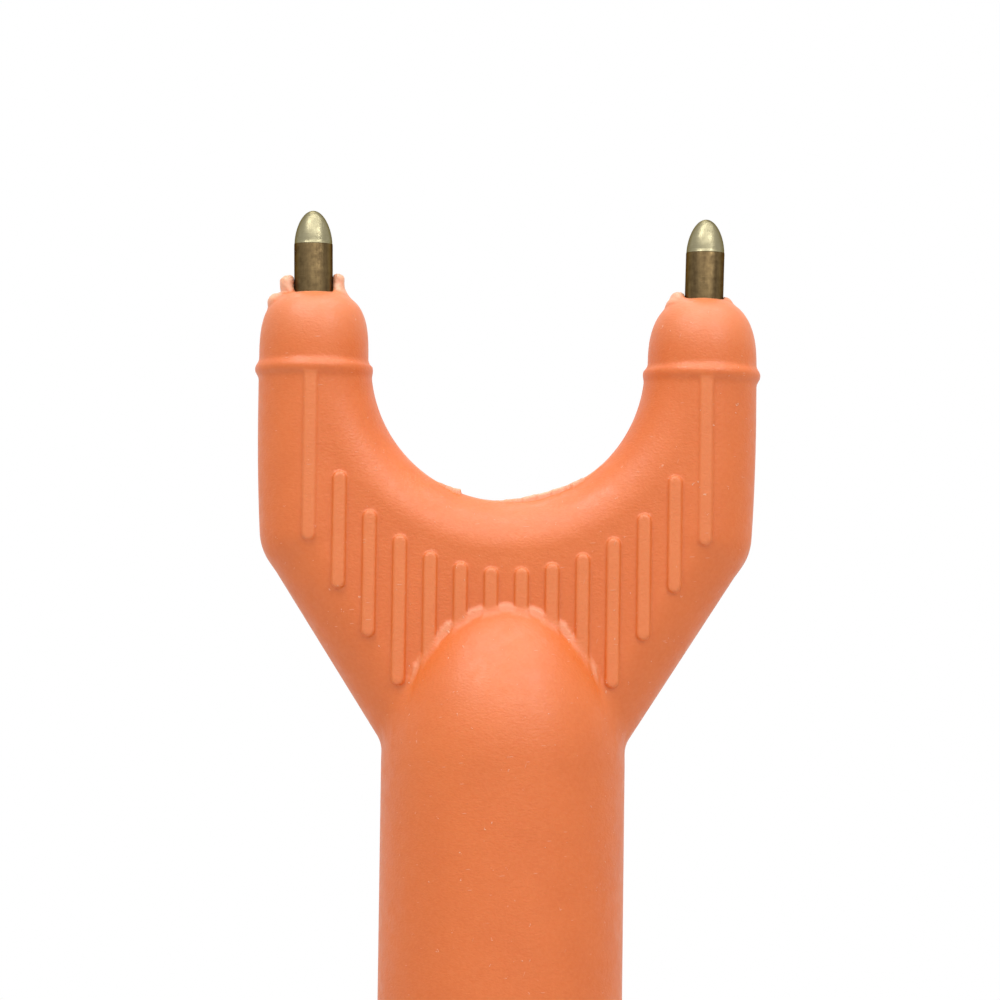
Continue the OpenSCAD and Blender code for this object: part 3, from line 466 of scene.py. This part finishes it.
class Tree:
    """A new node material with a Principled shader, and short calls for its nodes.

    Scales are per millimetre, and depths and radii are in millimetres.
    """

    def __init__(self, name):
        self.material = bpy.data.materials.new(name)
        self.material.use_nodes = True
        self.nodes = self.material.node_tree.nodes
        self.links = self.material.node_tree.links
        self.shader = self.nodes["Principled BSDF"]
        place = self.nodes.new("ShaderNodeTexCoord").outputs["Object"]
        inputs = {0: place, "Scale": 1 / MM}
        self.mm = self.node("ShaderNodeVectorMath", inputs, operation="SCALE").outputs[0]

    def node(self, kind, inputs, **settings):
        """A node with these settings and inputs, each a value or another node's socket."""
        made = self.nodes.new(kind)
        for key, value in settings.items():
            setattr(made, key, value)
        for key, value in inputs.items():
            self.put(made.inputs[key], value)
        return made

    def put(self, socket, value):
        """Links a socket, or sets its value."""
        if isinstance(value, bpy.types.NodeSocket):
            self.links.new(value, socket)
        else:
            socket.default_value = value

    def stretched(self, stretch, turn=(0, 0, 0)):
        """Places in millimetres, turned and then scaled along each axis."""
        turned = self.node("ShaderNodeMapping", {"Vector": self.mm, "Rotation": turn}).outputs[0]
        return self.node("ShaderNodeVectorMath", {0: turned, 1: stretch}, operation="MULTIPLY").outputs[0]

    def noise(self, scale, detail=3.0, where=None):
        """Cloudy values round 0.5."""
        inputs = {"Vector": where or self.mm, "Scale": scale, "Detail": detail}
        return self.node("ShaderNodeTexNoise", inputs).outputs[0]

    def clouds(self, scale, detail, start=0.0, end=1.0):
        """Cloudy values that fill the range from start to end."""
        low, high = 0.3, 0.7
        return self.span(self.noise(scale, detail), low, high, start, end)

    def warped(self, scale):
        """Places in millimetres, moved about by a cloudy amount along each axis."""
        cloud = self.node("ShaderNodeTexNoise", {"Vector": self.mm, "Scale": scale}).outputs[1]
        return self.node("ShaderNodeVectorMath", {0: self.mm, 1: cloud}, operation="ADD").outputs[0]

    def mark(self, name):
        """The value of a mark on the mesh's points."""
        return self.node("ShaderNodeAttribute", {}, attribute_name=name).outputs["Fac"]

    def spots(self, scale, size, share, where=None):
        """1 in round spots of that size, in a share of the cells, and 0 elsewhere."""
        soft = 0.25
        cells = self.node("ShaderNodeTexVoronoi", {"Vector": where or self.mm, "Scale": scale})
        near = self.span(cells.outputs["Distance"], size * (1 + soft), size * (1 - soft))
        pick = self.node("ShaderNodeSeparateColor", {0: cells.outputs["Color"]}).outputs[0]
        return self.maths("MULTIPLY", near, self.maths("LESS_THAN", pick, share))

    def span(self, value, low, high, start=0.0, end=1.0):
        """A value from low to high, carried over to start to end and held there."""
        inputs = {"Value": value, "From Min": low, "From Max": high, "To Min": start, "To Max": end}
        return self.node("ShaderNodeMapRange", inputs).outputs[0]

    def maths(self, operation, a, b):
        """Two values put together by a named operation."""
        return self.node("ShaderNodeMath", {0: a, 1: b}, operation=operation).outputs[0]

    def mix(self, factor, a, b):
        """A colour from a to b."""
        a, b = [c if isinstance(c, bpy.types.NodeSocket) else (*c, 1.0) for c in (a, b)]
        return self.node("ShaderNodeMix", {0: factor, 6: a, 7: b}, data_type="RGBA").outputs[2]

    def tint(self, colour, value, share, other):
        """A colour that turns to another by a share where a value is 1."""
        return self.mix(self.maths("MULTIPLY", value, share), colour, other)

    def bump(self, height, depth_mm, normal=None):
        """A normal that a height of 0 to 1 raises by a depth."""
        inputs = {"Height": height, "Distance": depth_mm * MM}
        if normal:
            inputs["Normal"] = normal
        return self.node("ShaderNodeBump", inputs).outputs[0]

    def soft_edges(self, radius_mm):
        """A normal that rounds the sharp edges."""
        return self.node("ShaderNodeBevel", {"Radius": radius_mm * MM}, samples=4).outputs[0]

    def worn_edges(self, radius_mm):
        """1 along the outer and inner edges, and 0 on the open faces."""
        open_level, worn_level = 0.995, 0.9
        flat_normal = self.node("ShaderNodeNewGeometry", {}).outputs["Normal"]
        inputs = {0: self.soft_edges(radius_mm), 1: flat_normal}
        level = self.node("ShaderNodeVectorMath", inputs, operation="DOT_PRODUCT").outputs["Value"]
        return self.span(level, open_level, worn_level)

    def shade(self, **sockets):
        """Sets the shader's sockets, with _ for a space, and gives the material."""
        for key, value in sockets.items():
            self.put(self.shader.inputs[key.replace("_", " ")], value)
        return self.material


def vinyl_colour(tree, specks, scratches):
    """The vinyl's orange: mottled, grained, paler on the ribs, in marks, where it is thin, and in a painted
    highlight on the noses' ends.
    """
    colour = tree.mix(tree.clouds(0.16, 2.0), (0.675, 0.131, 0.0095), (0.715, 0.147, 0.0145))
    grain = tree.span(tree.noise(2.4, 4.0), 0.35, 0.65)
    colour = tree.tint(colour, grain, 0.2, (0.78, 0.21, 0.05))
    colour = tree.tint(colour, tree.mark("rib"), 0.22, (0.82, 0.29, 0.11))
    colour = tree.tint(colour, specks, 0.8, (0.86, 0.50, 0.34))
    dark_specks = tree.spots(0.9, 0.06, 0.05, tree.warped(3.0))
    colour = tree.tint(colour, dark_specks, 0.6, (0.36, 0.06, 0.015))
    colour = tree.tint(colour, scratches, 0.7, (0.84, 0.42, 0.26))
    # The flash mark pales the thin flash, and it also paints a highlight on the noses' ends.
    return tree.tint(colour, tree.mark("flash"), 0.8, (0.88, 0.47, 0.29))


def orange_vinyl():
    """The head's soft moulding, with a pebbled skin, pale specks in patches and fine scratches."""
    tree = Tree("orange_vinyl")
    patch = tree.span(tree.noise(0.09, 1.0), 0.42, 0.6, 0.3)
    specks = tree.maths("MULTIPLY", tree.spots(1.3, 0.12, 0.14, tree.warped(3.0)), patch)
    level = tree.spots(1.0, 0.17, 0.035, tree.stretched((0.6, 1.5, 5.5), (0, 0.08, 0)))
    upright = tree.spots(1.0, 0.17, 0.012, tree.stretched((6.5, 1.5, 0.6), (0, -0.35, 0)))
    scratches = tree.maths("MULTIPLY", tree.maths("MAXIMUM", level, upright), 0.6)
    pebbles = tree.noise(1.0, 2.0, tree.stretched((3.2, 3.2, 5.2)))
    skin = tree.bump(pebbles, 0.034)
    skin = tree.bump(tree.noise(0.7, 2.0), 0.03, skin)
    skin = tree.bump(tree.maths("ADD", scratches, specks), 0.03, skin)
    rough = tree.clouds(0.8, 3.0, 0.42, 0.54)
    return tree.shade(Base_Color=vinyl_colour(tree, specks, scratches), Roughness=rough, Normal=skin,
                      Subsurface_Weight=0.1, Subsurface_Radius=(1.0, 0.35, 0.12),
                      Subsurface_Scale=1.2 * MM, Specular_IOR_Level=0.75)


# What brass shows at a grazing angle
BRASS_EDGE = (0.30, 0.25, 0.16)


def brass(name, colour, dull, dullness, roughness, grain=(16.0, 16.0, 0.5)):
    """Brass with fine lines along its grain, dulled in upright streaks and fine blotches."""
    tree = Tree(name)
    streaks = tree.span(tree.noise(1.0, 3.0, tree.stretched((1.1, 1.1, 0.12))), 0.35, 0.65)
    blotches = tree.clouds(1.6, 4.0)
    tarnish = tree.maths("MULTIPLY", tree.maths("ADD", streaks, blotches), dullness / 2)
    lines = tree.noise(1.0, 2.0, tree.stretched(grain))
    scuffs = tree.spots(1.0, 0.25, 0.12, tree.stretched((0.5, 0.5, 9.0)))
    shown = tree.mix(tarnish, colour, dull)
    shown = tree.tint(shown, scuffs, 0.5, colour)
    skin = tree.bump(tree.maths("SUBTRACT", lines, scuffs), 0.012)
    rough = tree.span(tree.maths("ADD", lines, blotches), 0.5, 1.5, roughness * 0.8, roughness * 1.3)
    return tree.shade(Base_Color=shown, Metallic=1.0, Roughness=rough, Normal=skin,
                      Specular_Tint=(*BRASS_EDGE, 1.0))


def moulded(name, colour, pale, roughness, grain_depth=0.025):
    """Hard moulded plastic with a fine spark texture, uneven shine, and edges that rubbing has paled."""
    tree = Tree(name)
    shown = tree.tint(colour, tree.clouds(0.07, 3.0), 0.18, pale)
    dust = tree.spots(0.9, 0.14, 0.05)
    rubbed = tree.span(tree.noise(0.35, 3.0), 0.35, 0.7, 0.1, 0.7)
    wear = tree.maths("MULTIPLY", tree.worn_edges(0.5), rubbed)
    shown = tree.mix(tree.maths("MAXIMUM", wear, tree.maths("MULTIPLY", dust, 0.6)), shown, pale)
    skin = tree.bump(tree.noise(2.2, 2.0), grain_depth, tree.soft_edges(0.3))
    rough = tree.clouds(0.25, 4.0, roughness - 0.07, roughness + 0.08)
    return tree.shade(Base_Color=shown, Roughness=rough, Normal=skin, Specular_IOR_Level=0.4)


def rubber(name, colour, pale):
    """Matt rubber with a dusty bloom and a fine moulded skin."""
    tree = Tree(name)
    bloom = tree.span(tree.noise(0.12, 4.0), 0.4, 0.75)
    shown = tree.tint(colour, bloom, 0.5, pale)
    shown = tree.tint(shown, tree.spots(0.8, 0.15, 0.06), 0.8, pale)
    skin = tree.bump(tree.noise(1.6, 3.0), 0.03, tree.soft_edges(0.3))
    rough = tree.clouds(0.5, 3.0, 0.62, 0.8)
    return tree.shade(Base_Color=shown, Roughness=rough, Normal=skin, Specular_IOR_Level=0.25)


def fibreglass():
    """Drawn tube: long fibres under a satin black skin, with a few rub marks."""
    tree = Tree("fibreglass")
    fibres = tree.noise(1.0, 4.0, tree.stretched((3.5, 3.5, 0.02)))
    shown = tree.mix(tree.span(fibres, 0.4, 0.7), (0.009, 0.009, 0.0095), (0.024, 0.024, 0.026))
    rubs = tree.spots(1.0, 0.22, 0.06, tree.stretched((0.6, 0.6, 3.0), (0.2, 0.1, 0)))
    shown = tree.tint(shown, rubs, 0.5, (0.12, 0.12, 0.12))
    skin = tree.bump(fibres, 0.02)
    rough = tree.clouds(0.2, 3.0, 0.27, 0.42)
    return tree.shade(Base_Color=shown, Roughness=rough, Normal=skin, Specular_IOR_Level=0.4)


def plated_steel():
    """Zinc plate: a pale blue-grey with crystal patches and fine tool lines."""
    tree = Tree("plated_steel")
    shown = tree.mix(tree.clouds(1.4, 4.0), (0.50, 0.51, 0.53), (0.66, 0.67, 0.68))
    rough = tree.clouds(2.5, 3.0, 0.24, 0.42)
    skin = tree.bump(tree.noise(4.0, 2.0), 0.006, tree.soft_edges(0.12))
    return tree.shade(Base_Color=shown, Metallic=1.0, Roughness=rough, Normal=skin)


def simple(name, colour, other, scale, roughness, depth=0.01):
    """An inner piece's material: two tones in clouds, uneven shine and a slight texture."""
    spread = 0.08
    tree = Tree(name)
    shown = tree.mix(tree.clouds(scale, 4.0), colour, other)
    rough = tree.clouds(scale * 2, 3.0, roughness - spread, roughness + spread)
    skin = tree.bump(tree.noise(scale * 3, 2.0), depth)
    return tree.shade(Base_Color=shown, Roughness=rough, Normal=skin)


def camera_sight(node_tree):
    """1 for what the camera sees, directly, in a mirror or through glass."""
    path = node_tree.nodes.new("ShaderNodeLightPath").outputs
    sight = path["Is Camera Ray"]
    for ray in ("Is Glossy Ray", "Is Transmission Ray"):
        either = node_tree.nodes.new("ShaderNodeMath")
        either.operation = "MAXIMUM"
        node_tree.links.new(sight, either.inputs[0])
        node_tree.links.new(path[ray], either.inputs[1])
        sight = either.outputs[0]
    return sight


def floor_material():
    """A pale floor that keeps the shadow near the object and turns to plain white further off."""
    tree = Tree("studio_floor")
    flat = tree.node("ShaderNodeVectorMath", {0: tree.mm, 1: (1, 1, 0)}, operation="MULTIPLY").outputs[0]
    far = tree.node("ShaderNodeVectorMath", {0: flat}, operation="LENGTH").outputs["Value"]
    seen = camera_sight(tree.material.node_tree)
    near_end, far_start = 350, 1100
    white = tree.maths("MULTIPLY", tree.span(far, near_end, far_start), seen)
    shown = tree.mix(tree.noise(0.01, 3.0), (0.80, 0.80, 0.80), (0.83, 0.83, 0.83))
    glow = tree.node("ShaderNodeEmission", {"Color": (1, 1, 1, 1), "Strength": 1.0}).outputs[0]
    tree.shade(Base_Color=shown, Roughness=0.7)
    both = tree.node("ShaderNodeMixShader", {0: white, 1: tree.shader.outputs[0], 2: glow}).outputs[0]
    tree.links.new(both, tree.nodes["Material Output"].inputs["Surface"])
    return tree.material


MATERIALS = {
    "orange_pvc": orange_vinyl(),
    "electrode_brass": brass("dull_brass", (0.18, 0.124, 0.057), (0.049, 0.031, 0.015), 0.9, 0.36),
    "plated_steel": plated_steel(),
    "red_insulation": simple("red_insulation", (0.42, 0.025, 0.018), (0.5, 0.05, 0.03), 0.5, 0.5),
    "black_insulation": simple("black_insulation", (0.02, 0.02, 0.02), (0.04, 0.04, 0.04), 0.5, 0.5),
    "white_nylon": simple("white_nylon", (0.72, 0.71, 0.67), (0.79, 0.78, 0.75), 0.4, 0.45),
    "black_fibreglass": fibreglass(),
    "black_rubber": rubber("black_rubber", (0.012, 0.012, 0.0125), (0.045, 0.044, 0.042)),
    "black_plastic": moulded("black_plastic", (0.013, 0.013, 0.0135), (0.07, 0.07, 0.07), 0.40),
    "orange_shell": moulded("orange_shell", (0.70, 0.150, 0.036), (0.80, 0.30, 0.13), 0.40, 0.05),
    "red_plastic": simple("red_plastic", (0.45, 0.02, 0.015), (0.52, 0.04, 0.03), 0.8, 0.35),
    "green_board": simple("green_board", (0.012, 0.15, 0.05), (0.02, 0.2, 0.08), 0.3, 0.38, 0.02),
    "ferrite": simple("ferrite", (0.045, 0.045, 0.05), (0.08, 0.08, 0.085), 1.2, 0.6, 0.03),
    "taped_winding": simple("taped_winding", (0.46, 0.28, 0.03), (0.55, 0.36, 0.06), 0.6, 0.3, 0.02),
    "blue_can": simple("blue_can", (0.02, 0.045, 0.22), (0.03, 0.07, 0.3), 0.6, 0.3),
    "contact_brass": brass("contact_brass", (0.62, 0.47, 0.22), (0.34, 0.22, 0.09), 0.5, 0.3),
    "cell_can": simple("cell_can", (0.10, 0.14, 0.2), (0.14, 0.18, 0.25), 0.3, 0.35),
}
BRIGHT_BRASS = brass("bright_brass", (0.315, 0.285, 0.178), (0.185, 0.16, 0.091), 0.5, 0.36,
                     grain=(0.5, 0.5, 14.0))


# Pieces

def head_marks(x, y, h):
    """The head's marks at points: how thin the flash is, a painted highlight that pales the noses' ends
    towards the top, and the ribs' tops.
    """
    flash_full, painted_highlight_share, painted_highlight_h = 0.5, 0.25, 1.5
    rib_soft, face_slack = 0.4, 0.05
    bare = body_field(x, y, h, fork_field(x, y, h), barrel_field(x, y, h))
    # Painted highlight: the noses' ends grow paler towards the top, where light from above falls on them.
    # The flash mark carries it along with the thin flash.
    ends = painted_highlight_share * np.clip((h - painted_highlight_h) / (NOSE_L - painted_highlight_h), 0, 1)
    thin = np.clip(np.maximum(bare / flash_full, ends), 0, 1)
    rib_y = ARM_R + RIB_PROUD
    proud = np.clip((np.abs(y) - EDGE_R) / (rib_y - EDGE_R), 0, 1) * (np.abs(y) < rib_y + face_slack)
    tops = np.clip(0.5 - rib_field(np.abs(x), h) / rib_soft, 0, 1) * proud
    return {"flash": thin, "rib": tops}


def make_head():
    """The head, on a grid that is fine except along the barrel's plain middle."""
    fine, coarse = 0.22, 2.0
    edge = 2 * fine
    mouth_l, below_dome, above_nose = 2.0, 3.0, 2.5
    xs = planes([-HEAD_HIGH[0] - edge, HEAD_HIGH[0] + edge], [fine])
    ys = planes([-BARREL_R - edge, BARREL_R + edge], [fine])
    stops = [MOUTH_H - edge, MOUTH_H + mouth_l, DOME_H - below_dome, NOSE_L + above_nose]
    hs = planes(stops, [fine, coarse, fine])
    points, quads = mesh_field(head_field, xs, ys, hs)
    piece = make_piece("fork_head", points + [0, 0, FORK_Z], quads, "handle", "orange_pvc", "prod_head")
    for mark_name, values in head_marks(*points.T).items():
        mark = piece.data.attributes.new(mark_name, "FLOAT", "POINT")
        mark.data.foreach_set("value", values.astype(np.float32))


def electrode_profile():
    """The electrode's outline, from its foot to its tip, and the height where the polished tip starts."""
    soft, tip_step, neck_l = 0.08, 0.03, 2.0
    tip_stops, tip_power = 15, 1.75
    foot_z = PIN_LOW[2]
    flange_z = FORK_Z - FLANGE_T / 2
    flange_top = flange_z + FLANGE_T
    tip_z = PIN_HIGH[2] - PIN_TIP_L
    tip_r = PIN_R - tip_step
    foot = [(0, foot_z), (PIN_R - soft, foot_z), (PIN_R, foot_z + soft), (PIN_R, flange_z)]
    flange = [(FLANGE_R - soft, flange_z), (FLANGE_R, flange_z + soft), (FLANGE_R, flange_top - soft),
              (FLANGE_R - soft, flange_top), (PIN_R, flange_top)]
    shank = [(PIN_R, flange_top + neck_l), (PIN_R, tip_z - soft), (PIN_R - soft / 3, tip_z - soft / 3),
             (tip_r + soft / 3, tip_z), (tip_r, tip_z + soft / 3)]
    shares = np.sin(np.linspace(0, math.pi / 2, tip_stops))[1:]
    tip = [(tip_r * math.sqrt(max(1 - s ** tip_power, 0)), tip_z + PIN_TIP_L * s) for s in shares]
    return foot + flange + shank + tip, tip_z


def make_electrode(side, name, node):
    """One electrode: a dull shank and a polished tip. side is -1 for left and 1 for right."""
    profile, tip_z = electrode_profile()
    points, faces = lathe(profile, PIN_SIDES)
    polished = [points[list(f)][:, 2].mean() > tip_z for f in faces]
    points[:, 2] -= PIN_DROPS[side] * (points[:, 2] > FORK_Z + FLANGE_T)
    points[:, 0] += side * PIN_LEAN * np.maximum(points[:, 2] - FORK_Z, 0)
    piece = make_piece(name, points + [side * PIN_X, 0, 0], faces, "handle", "electrode_brass", node)
    piece.data.materials.append(BRIGHT_BRASS)
    piece.data.polygons.foreach_set("material_index", np.array(polished, np.int32))


def make_grip():
    """The grip sleeve, with rounded ribs."""
    ribs, rib_h, rib_share, flatness, stops = 16, 0.9, 0.82, 1.35, 14
    end_l, lip, bevel_share, wall_room = 4.0, 0.6, 0.3, 3.35
    low, high = box_mm("grip_sleeve")
    inner = box_mm("battery_cell_lower")[1][0] + wall_room
    valley = high[0] - rib_h
    pitch = (high[2] - low[2] - 2 * end_l) / ribs
    bevel = lip * bevel_share
    outside = [(valley - lip, low[2]), (valley - bevel, low[2] + bevel), (valley, low[2] + lip)]
    for i in range(ribs):
        for s in np.linspace(0, 1, stops + 1)[:-1]:
            swell = min(flatness * math.sin(math.pi * min(s / rib_share, 1)), 1)
            rise = rib_h * swell * swell * (3 - 2 * swell)
            outside.append((valley + rise, low[2] + end_l + (i + s) * pitch))
    outside += [(valley, high[2] - lip), (valley - bevel, high[2] - bevel), (valley - lip, high[2])]
    ring = [(inner, low[2]), *outside, (inner, high[2]), (inner, low[2])]
    make_piece("grip_rubber", *lathe(ring, GRIP_SIDES), "handle", "black_rubber", "grip_sleeve")


def coil_path(foot_r, top_r, wire_r, length, turns):
    """A coil's centre line along +Z, with half a turn lying flat at each end."""
    stops_per_turn, flat_turn = 32, 0.5
    turn = np.linspace(0, turns, int(turns * stops_per_turn) + 1)
    rise = np.clip((turn - flat_turn) / (turns - 2 * flat_turn), 0, 1)
    r = foot_r + (top_r - foot_r) * rise
    a = 2 * math.pi * turn
    return np.column_stack([r * np.cos(a), r * np.sin(a), wire_r + (length - 2 * wire_r) * rise])


def make_trigger_spring():
    """The trigger's return spring, on a mesh of its own."""
    wire_r, turns = 0.26, 4
    low, high = box_mm("trigger_spring")
    coil_r = high[0] - wire_r
    middle_z = (low[2] + high[2]) / 2
    path = coil_path(coil_r, coil_r, wire_r, high[1] - low[1], turns)
    path = np.column_stack([path[:, 0], low[1] + path[:, 2], middle_z - path[:, 1]])
    coil = tube(path, wire_r, WIRE_SIDES)
    piece = make_piece("trigger_coil", *coil, "handle", "plated_steel", "trigger_spring")
    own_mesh(piece)


def make_battery_spring():
    """The tapered spring under the cells."""
    wire_r, foot_r, top_r, turns = 0.5, 9.0, 5.0, 3.5
    low, high = box_mm("battery_spring")
    path = coil_path(foot_r, top_r, wire_r, high[2] - low[2], turns) + [0, 0, low[2]]
    coil = tube(path, wire_r, WIRE_SIDES)
    make_piece("battery_coil", *coil, "end_cap", "plated_steel", "battery_spring")


def make_lead(side, name, node, slot):
    """One lead, from its terminal through the shaft and the head to its crimp."""
    low, high = box_mm(node)
    board_low, board_high = box_mm("circuit_board")
    start_y = (board_low[1] + board_high[1]) / 2
    in_shaft = SHAFT_LOW[2] + LEAD_ROOM
    below = [(LEAD_X, start_y, low[2]), (LEAD_X, start_y, low[2] + LEAD_STRAIGHT),
             (LEAD_X, start_y / 2, SHAFT_LOW[2] - LEAD_ROOM / 4), (LEAD_X, 0, SHAFT_LOW[2] + LEAD_ROOM / 4),
             (LEAD_X, 0, in_shaft), (LEAD_X, 0, (in_shaft + FORK_Z + DOME_H) / 2)]
    above = [(x, 0, FORK_Z + h) for x, h in lead_route()] + [(PIN_X, 0, high[2])]
    path = np.array(below + above) * [side, 1, 1]
    make_piece(name, *tube(path, LEAD_R, LEAD_SIDES), "handle", slot, node)


def make_winding():
    """The transformer's winding: rows of wire round the core's middle leg."""
    turns, rows_per_turn, wire_r, sides = 22, 6, 0.16, 48
    leg_half_w, squareness = 2.05, 0.35
    low, high = box_mm("transformer_coil")
    core_low, core_high = box_mm("transformer_core")
    leg = np.array([leg_half_w, (core_high[1] - core_low[1]) / 2 + FIT_GAP])
    leg_middle = ((core_low + core_high) / 2)[:2]
    middle = ((low + high) / 2)[:2]
    half = (high - low)[:2] / 2
    angles = np.linspace(0, 2 * math.pi, sides + 1)[:-1]
    way = np.column_stack([np.cos(angles), np.sin(angles)])
    outline = np.sign(way) * np.abs(way) ** squareness
    last = turns * rows_per_turn
    rows = [(0.0, leg, leg_middle)]
    for k in range(last + 1):
        swell = wire_r * abs(math.sin(math.pi * k / rows_per_turn))
        rows.append((k / last, half - wire_r + swell, middle))
    rows += [(1.0, leg, leg_middle), (0.0, leg, leg_middle)]
    points = [[*(at + corner * size), low[2] + share * (high[2] - low[2])]
              for share, size, at in rows for corner in outline]
    faces = ring_faces(len(rows), sides)
    make_piece("winding", points, faces, "handle", "taped_winding", "transformer_coil")


def round_edges(node, step_mm):
    """Rounds a CAD solid's edges: modifiers remesh it in steps of this size and smooth it."""
    modifiers = frame["nodes"][node].modifiers
    remesh = modifiers.new("remesh", "REMESH")
    remesh.mode = "VOXEL"
    remesh.voxel_size = step_mm * MM
    remesh.use_smooth_shade = True
    smooth = modifiers.new("smooth", "SMOOTH")
    smooth.factor = 0.5
    smooth.iterations = 8


def dress_cad():
    """Gives each CAD node its slot's material, and rounds the edges of those that a finger works."""
    for part in frame["record"]["subparts"]:
        mesh = frame["nodes"][part["node"]].data
        mesh.materials.clear()
        mesh.materials.append(MATERIALS[part["material_slot"]])
    for node, step_mm in ROUNDED.items():
        round_edges(node, step_mm)


# Studio

def add_floor():
    """A round floor, small enough to stay out of the photo's view."""
    middle_r, edge_r = 1000, 2900
    points, faces = lathe([(0, 0), (middle_r, 0), (edge_r, 0)], FLOOR_SIDES)
    mesh = bpy.data.meshes.new("studio_floor")
    mesh.from_pydata((points * MM).tolist(), [], faces)
    mesh.materials.append(floor_material())
    floor = bpy.data.objects.new("studio_floor", mesh)
    bpy.context.scene.collection.objects.link(floor)


def add_softbox(name, place, aim, size, power):
    """A soft light of a width and height in metres, aimed at a point."""
    light = bpy.data.lights.new(name, "AREA")
    light.shape = "RECTANGLE"
    light.size, light.size_y = size
    light.energy = power
    lamp = bpy.data.objects.new(name, light)
    lamp.location = place
    lamp.rotation_euler = (Vector(aim) - Vector(place)).to_track_quat("-Z", "Y").to_euler()
    bpy.context.scene.collection.objects.link(lamp)
    return lamp


def add_lights():
    """Soft lights round the head, the last of them seen only in reflections."""
    head, neck = (0, 0, 0.42), (0, 0, 0.40)
    add_softbox("top_light", place=(0.04, -0.18, 1.38), aim=head, size=(1.4, 0.34), power=6.6)
    add_softbox("left_light", place=(-0.53, -0.53, 1.25), aim=neck, size=(0.3, 0.3), power=2.7)
    add_softbox("right_light", place=(0.55, -0.7, 1.06), aim=neck, size=(0.3, 0.3), power=2.8)
    add_softbox("back_light", place=(-0.12, 0.45, 1.3), aim=neck, size=(0.32, 0.32), power=1.4)
    sheen_light = add_softbox("sheen_light", place=(0, -0.85, 1.13), aim=head, size=(0.8, 0.5), power=3.4)
    sheen_light.visible_diffuse = False


def add_world():
    """A white room: plain white to the eye and to mirrors, and softer as a light."""
    as_light, as_seen = 0.66, 1.0
    world = bpy.data.worlds.new("studio")
    world.use_nodes = True
    bpy.context.scene.world = world
    nodes, links = world.node_tree.nodes, world.node_tree.links
    back = nodes["Background"]
    back.inputs["Color"].default_value = (1, 1, 1, 1)
    level = nodes.new("ShaderNodeMapRange")
    level.inputs["To Min"].default_value = as_light
    level.inputs["To Max"].default_value = as_seen
    links.new(camera_sight(world.node_tree), level.inputs["Value"])
    links.new(level.outputs[0], back.inputs["Strength"])


def add_camera():
    """The photo's view: a little from below, with the head leaning slightly to the right."""
    tilt, roll, turned = math.radians(3.5), math.radians(0.75), math.radians(1.0)
    distance, width = 450.0, 103.3
    aim_x, aim_h = -0.65, -14.0
    target = Vector((aim_x, 0, FORK_Z + aim_h))
    forward = Vector((math.cos(tilt) * math.sin(turned), math.cos(tilt) * math.cos(turned), math.sin(tilt)))
    data = bpy.data.cameras.new("photo_view")
    data.sensor_width = 36.0
    data.lens = data.sensor_width * distance / width
    data.clip_start = 0.01
    camera = bpy.data.objects.new("photo_view", data)
    turn = forward.to_track_quat("-Z", "Y").to_matrix() @ Matrix.Rotation(roll, 3, "Z")
    camera.rotation_euler = turn.to_euler()
    camera.location = (target - forward * distance) * MM
    bpy.context.scene.collection.objects.link(camera)
    bpy.context.scene.camera = camera


add_camera()
dress_cad()
make_head()
make_electrode(-1, "electrode_pin_left", "electrode_left")
make_electrode(1, "electrode_pin_right", "electrode_right")
make_grip()
make_trigger_spring()
make_battery_spring()
make_lead(-1, "lead_wire_left", "lead_left", "red_insulation")
make_lead(1, "lead_wire_right", "lead_right", "black_insulation")
make_winding()
add_floor()
add_world()
add_lights()
bpy.context.scene.view_settings.view_transform = "Standard"
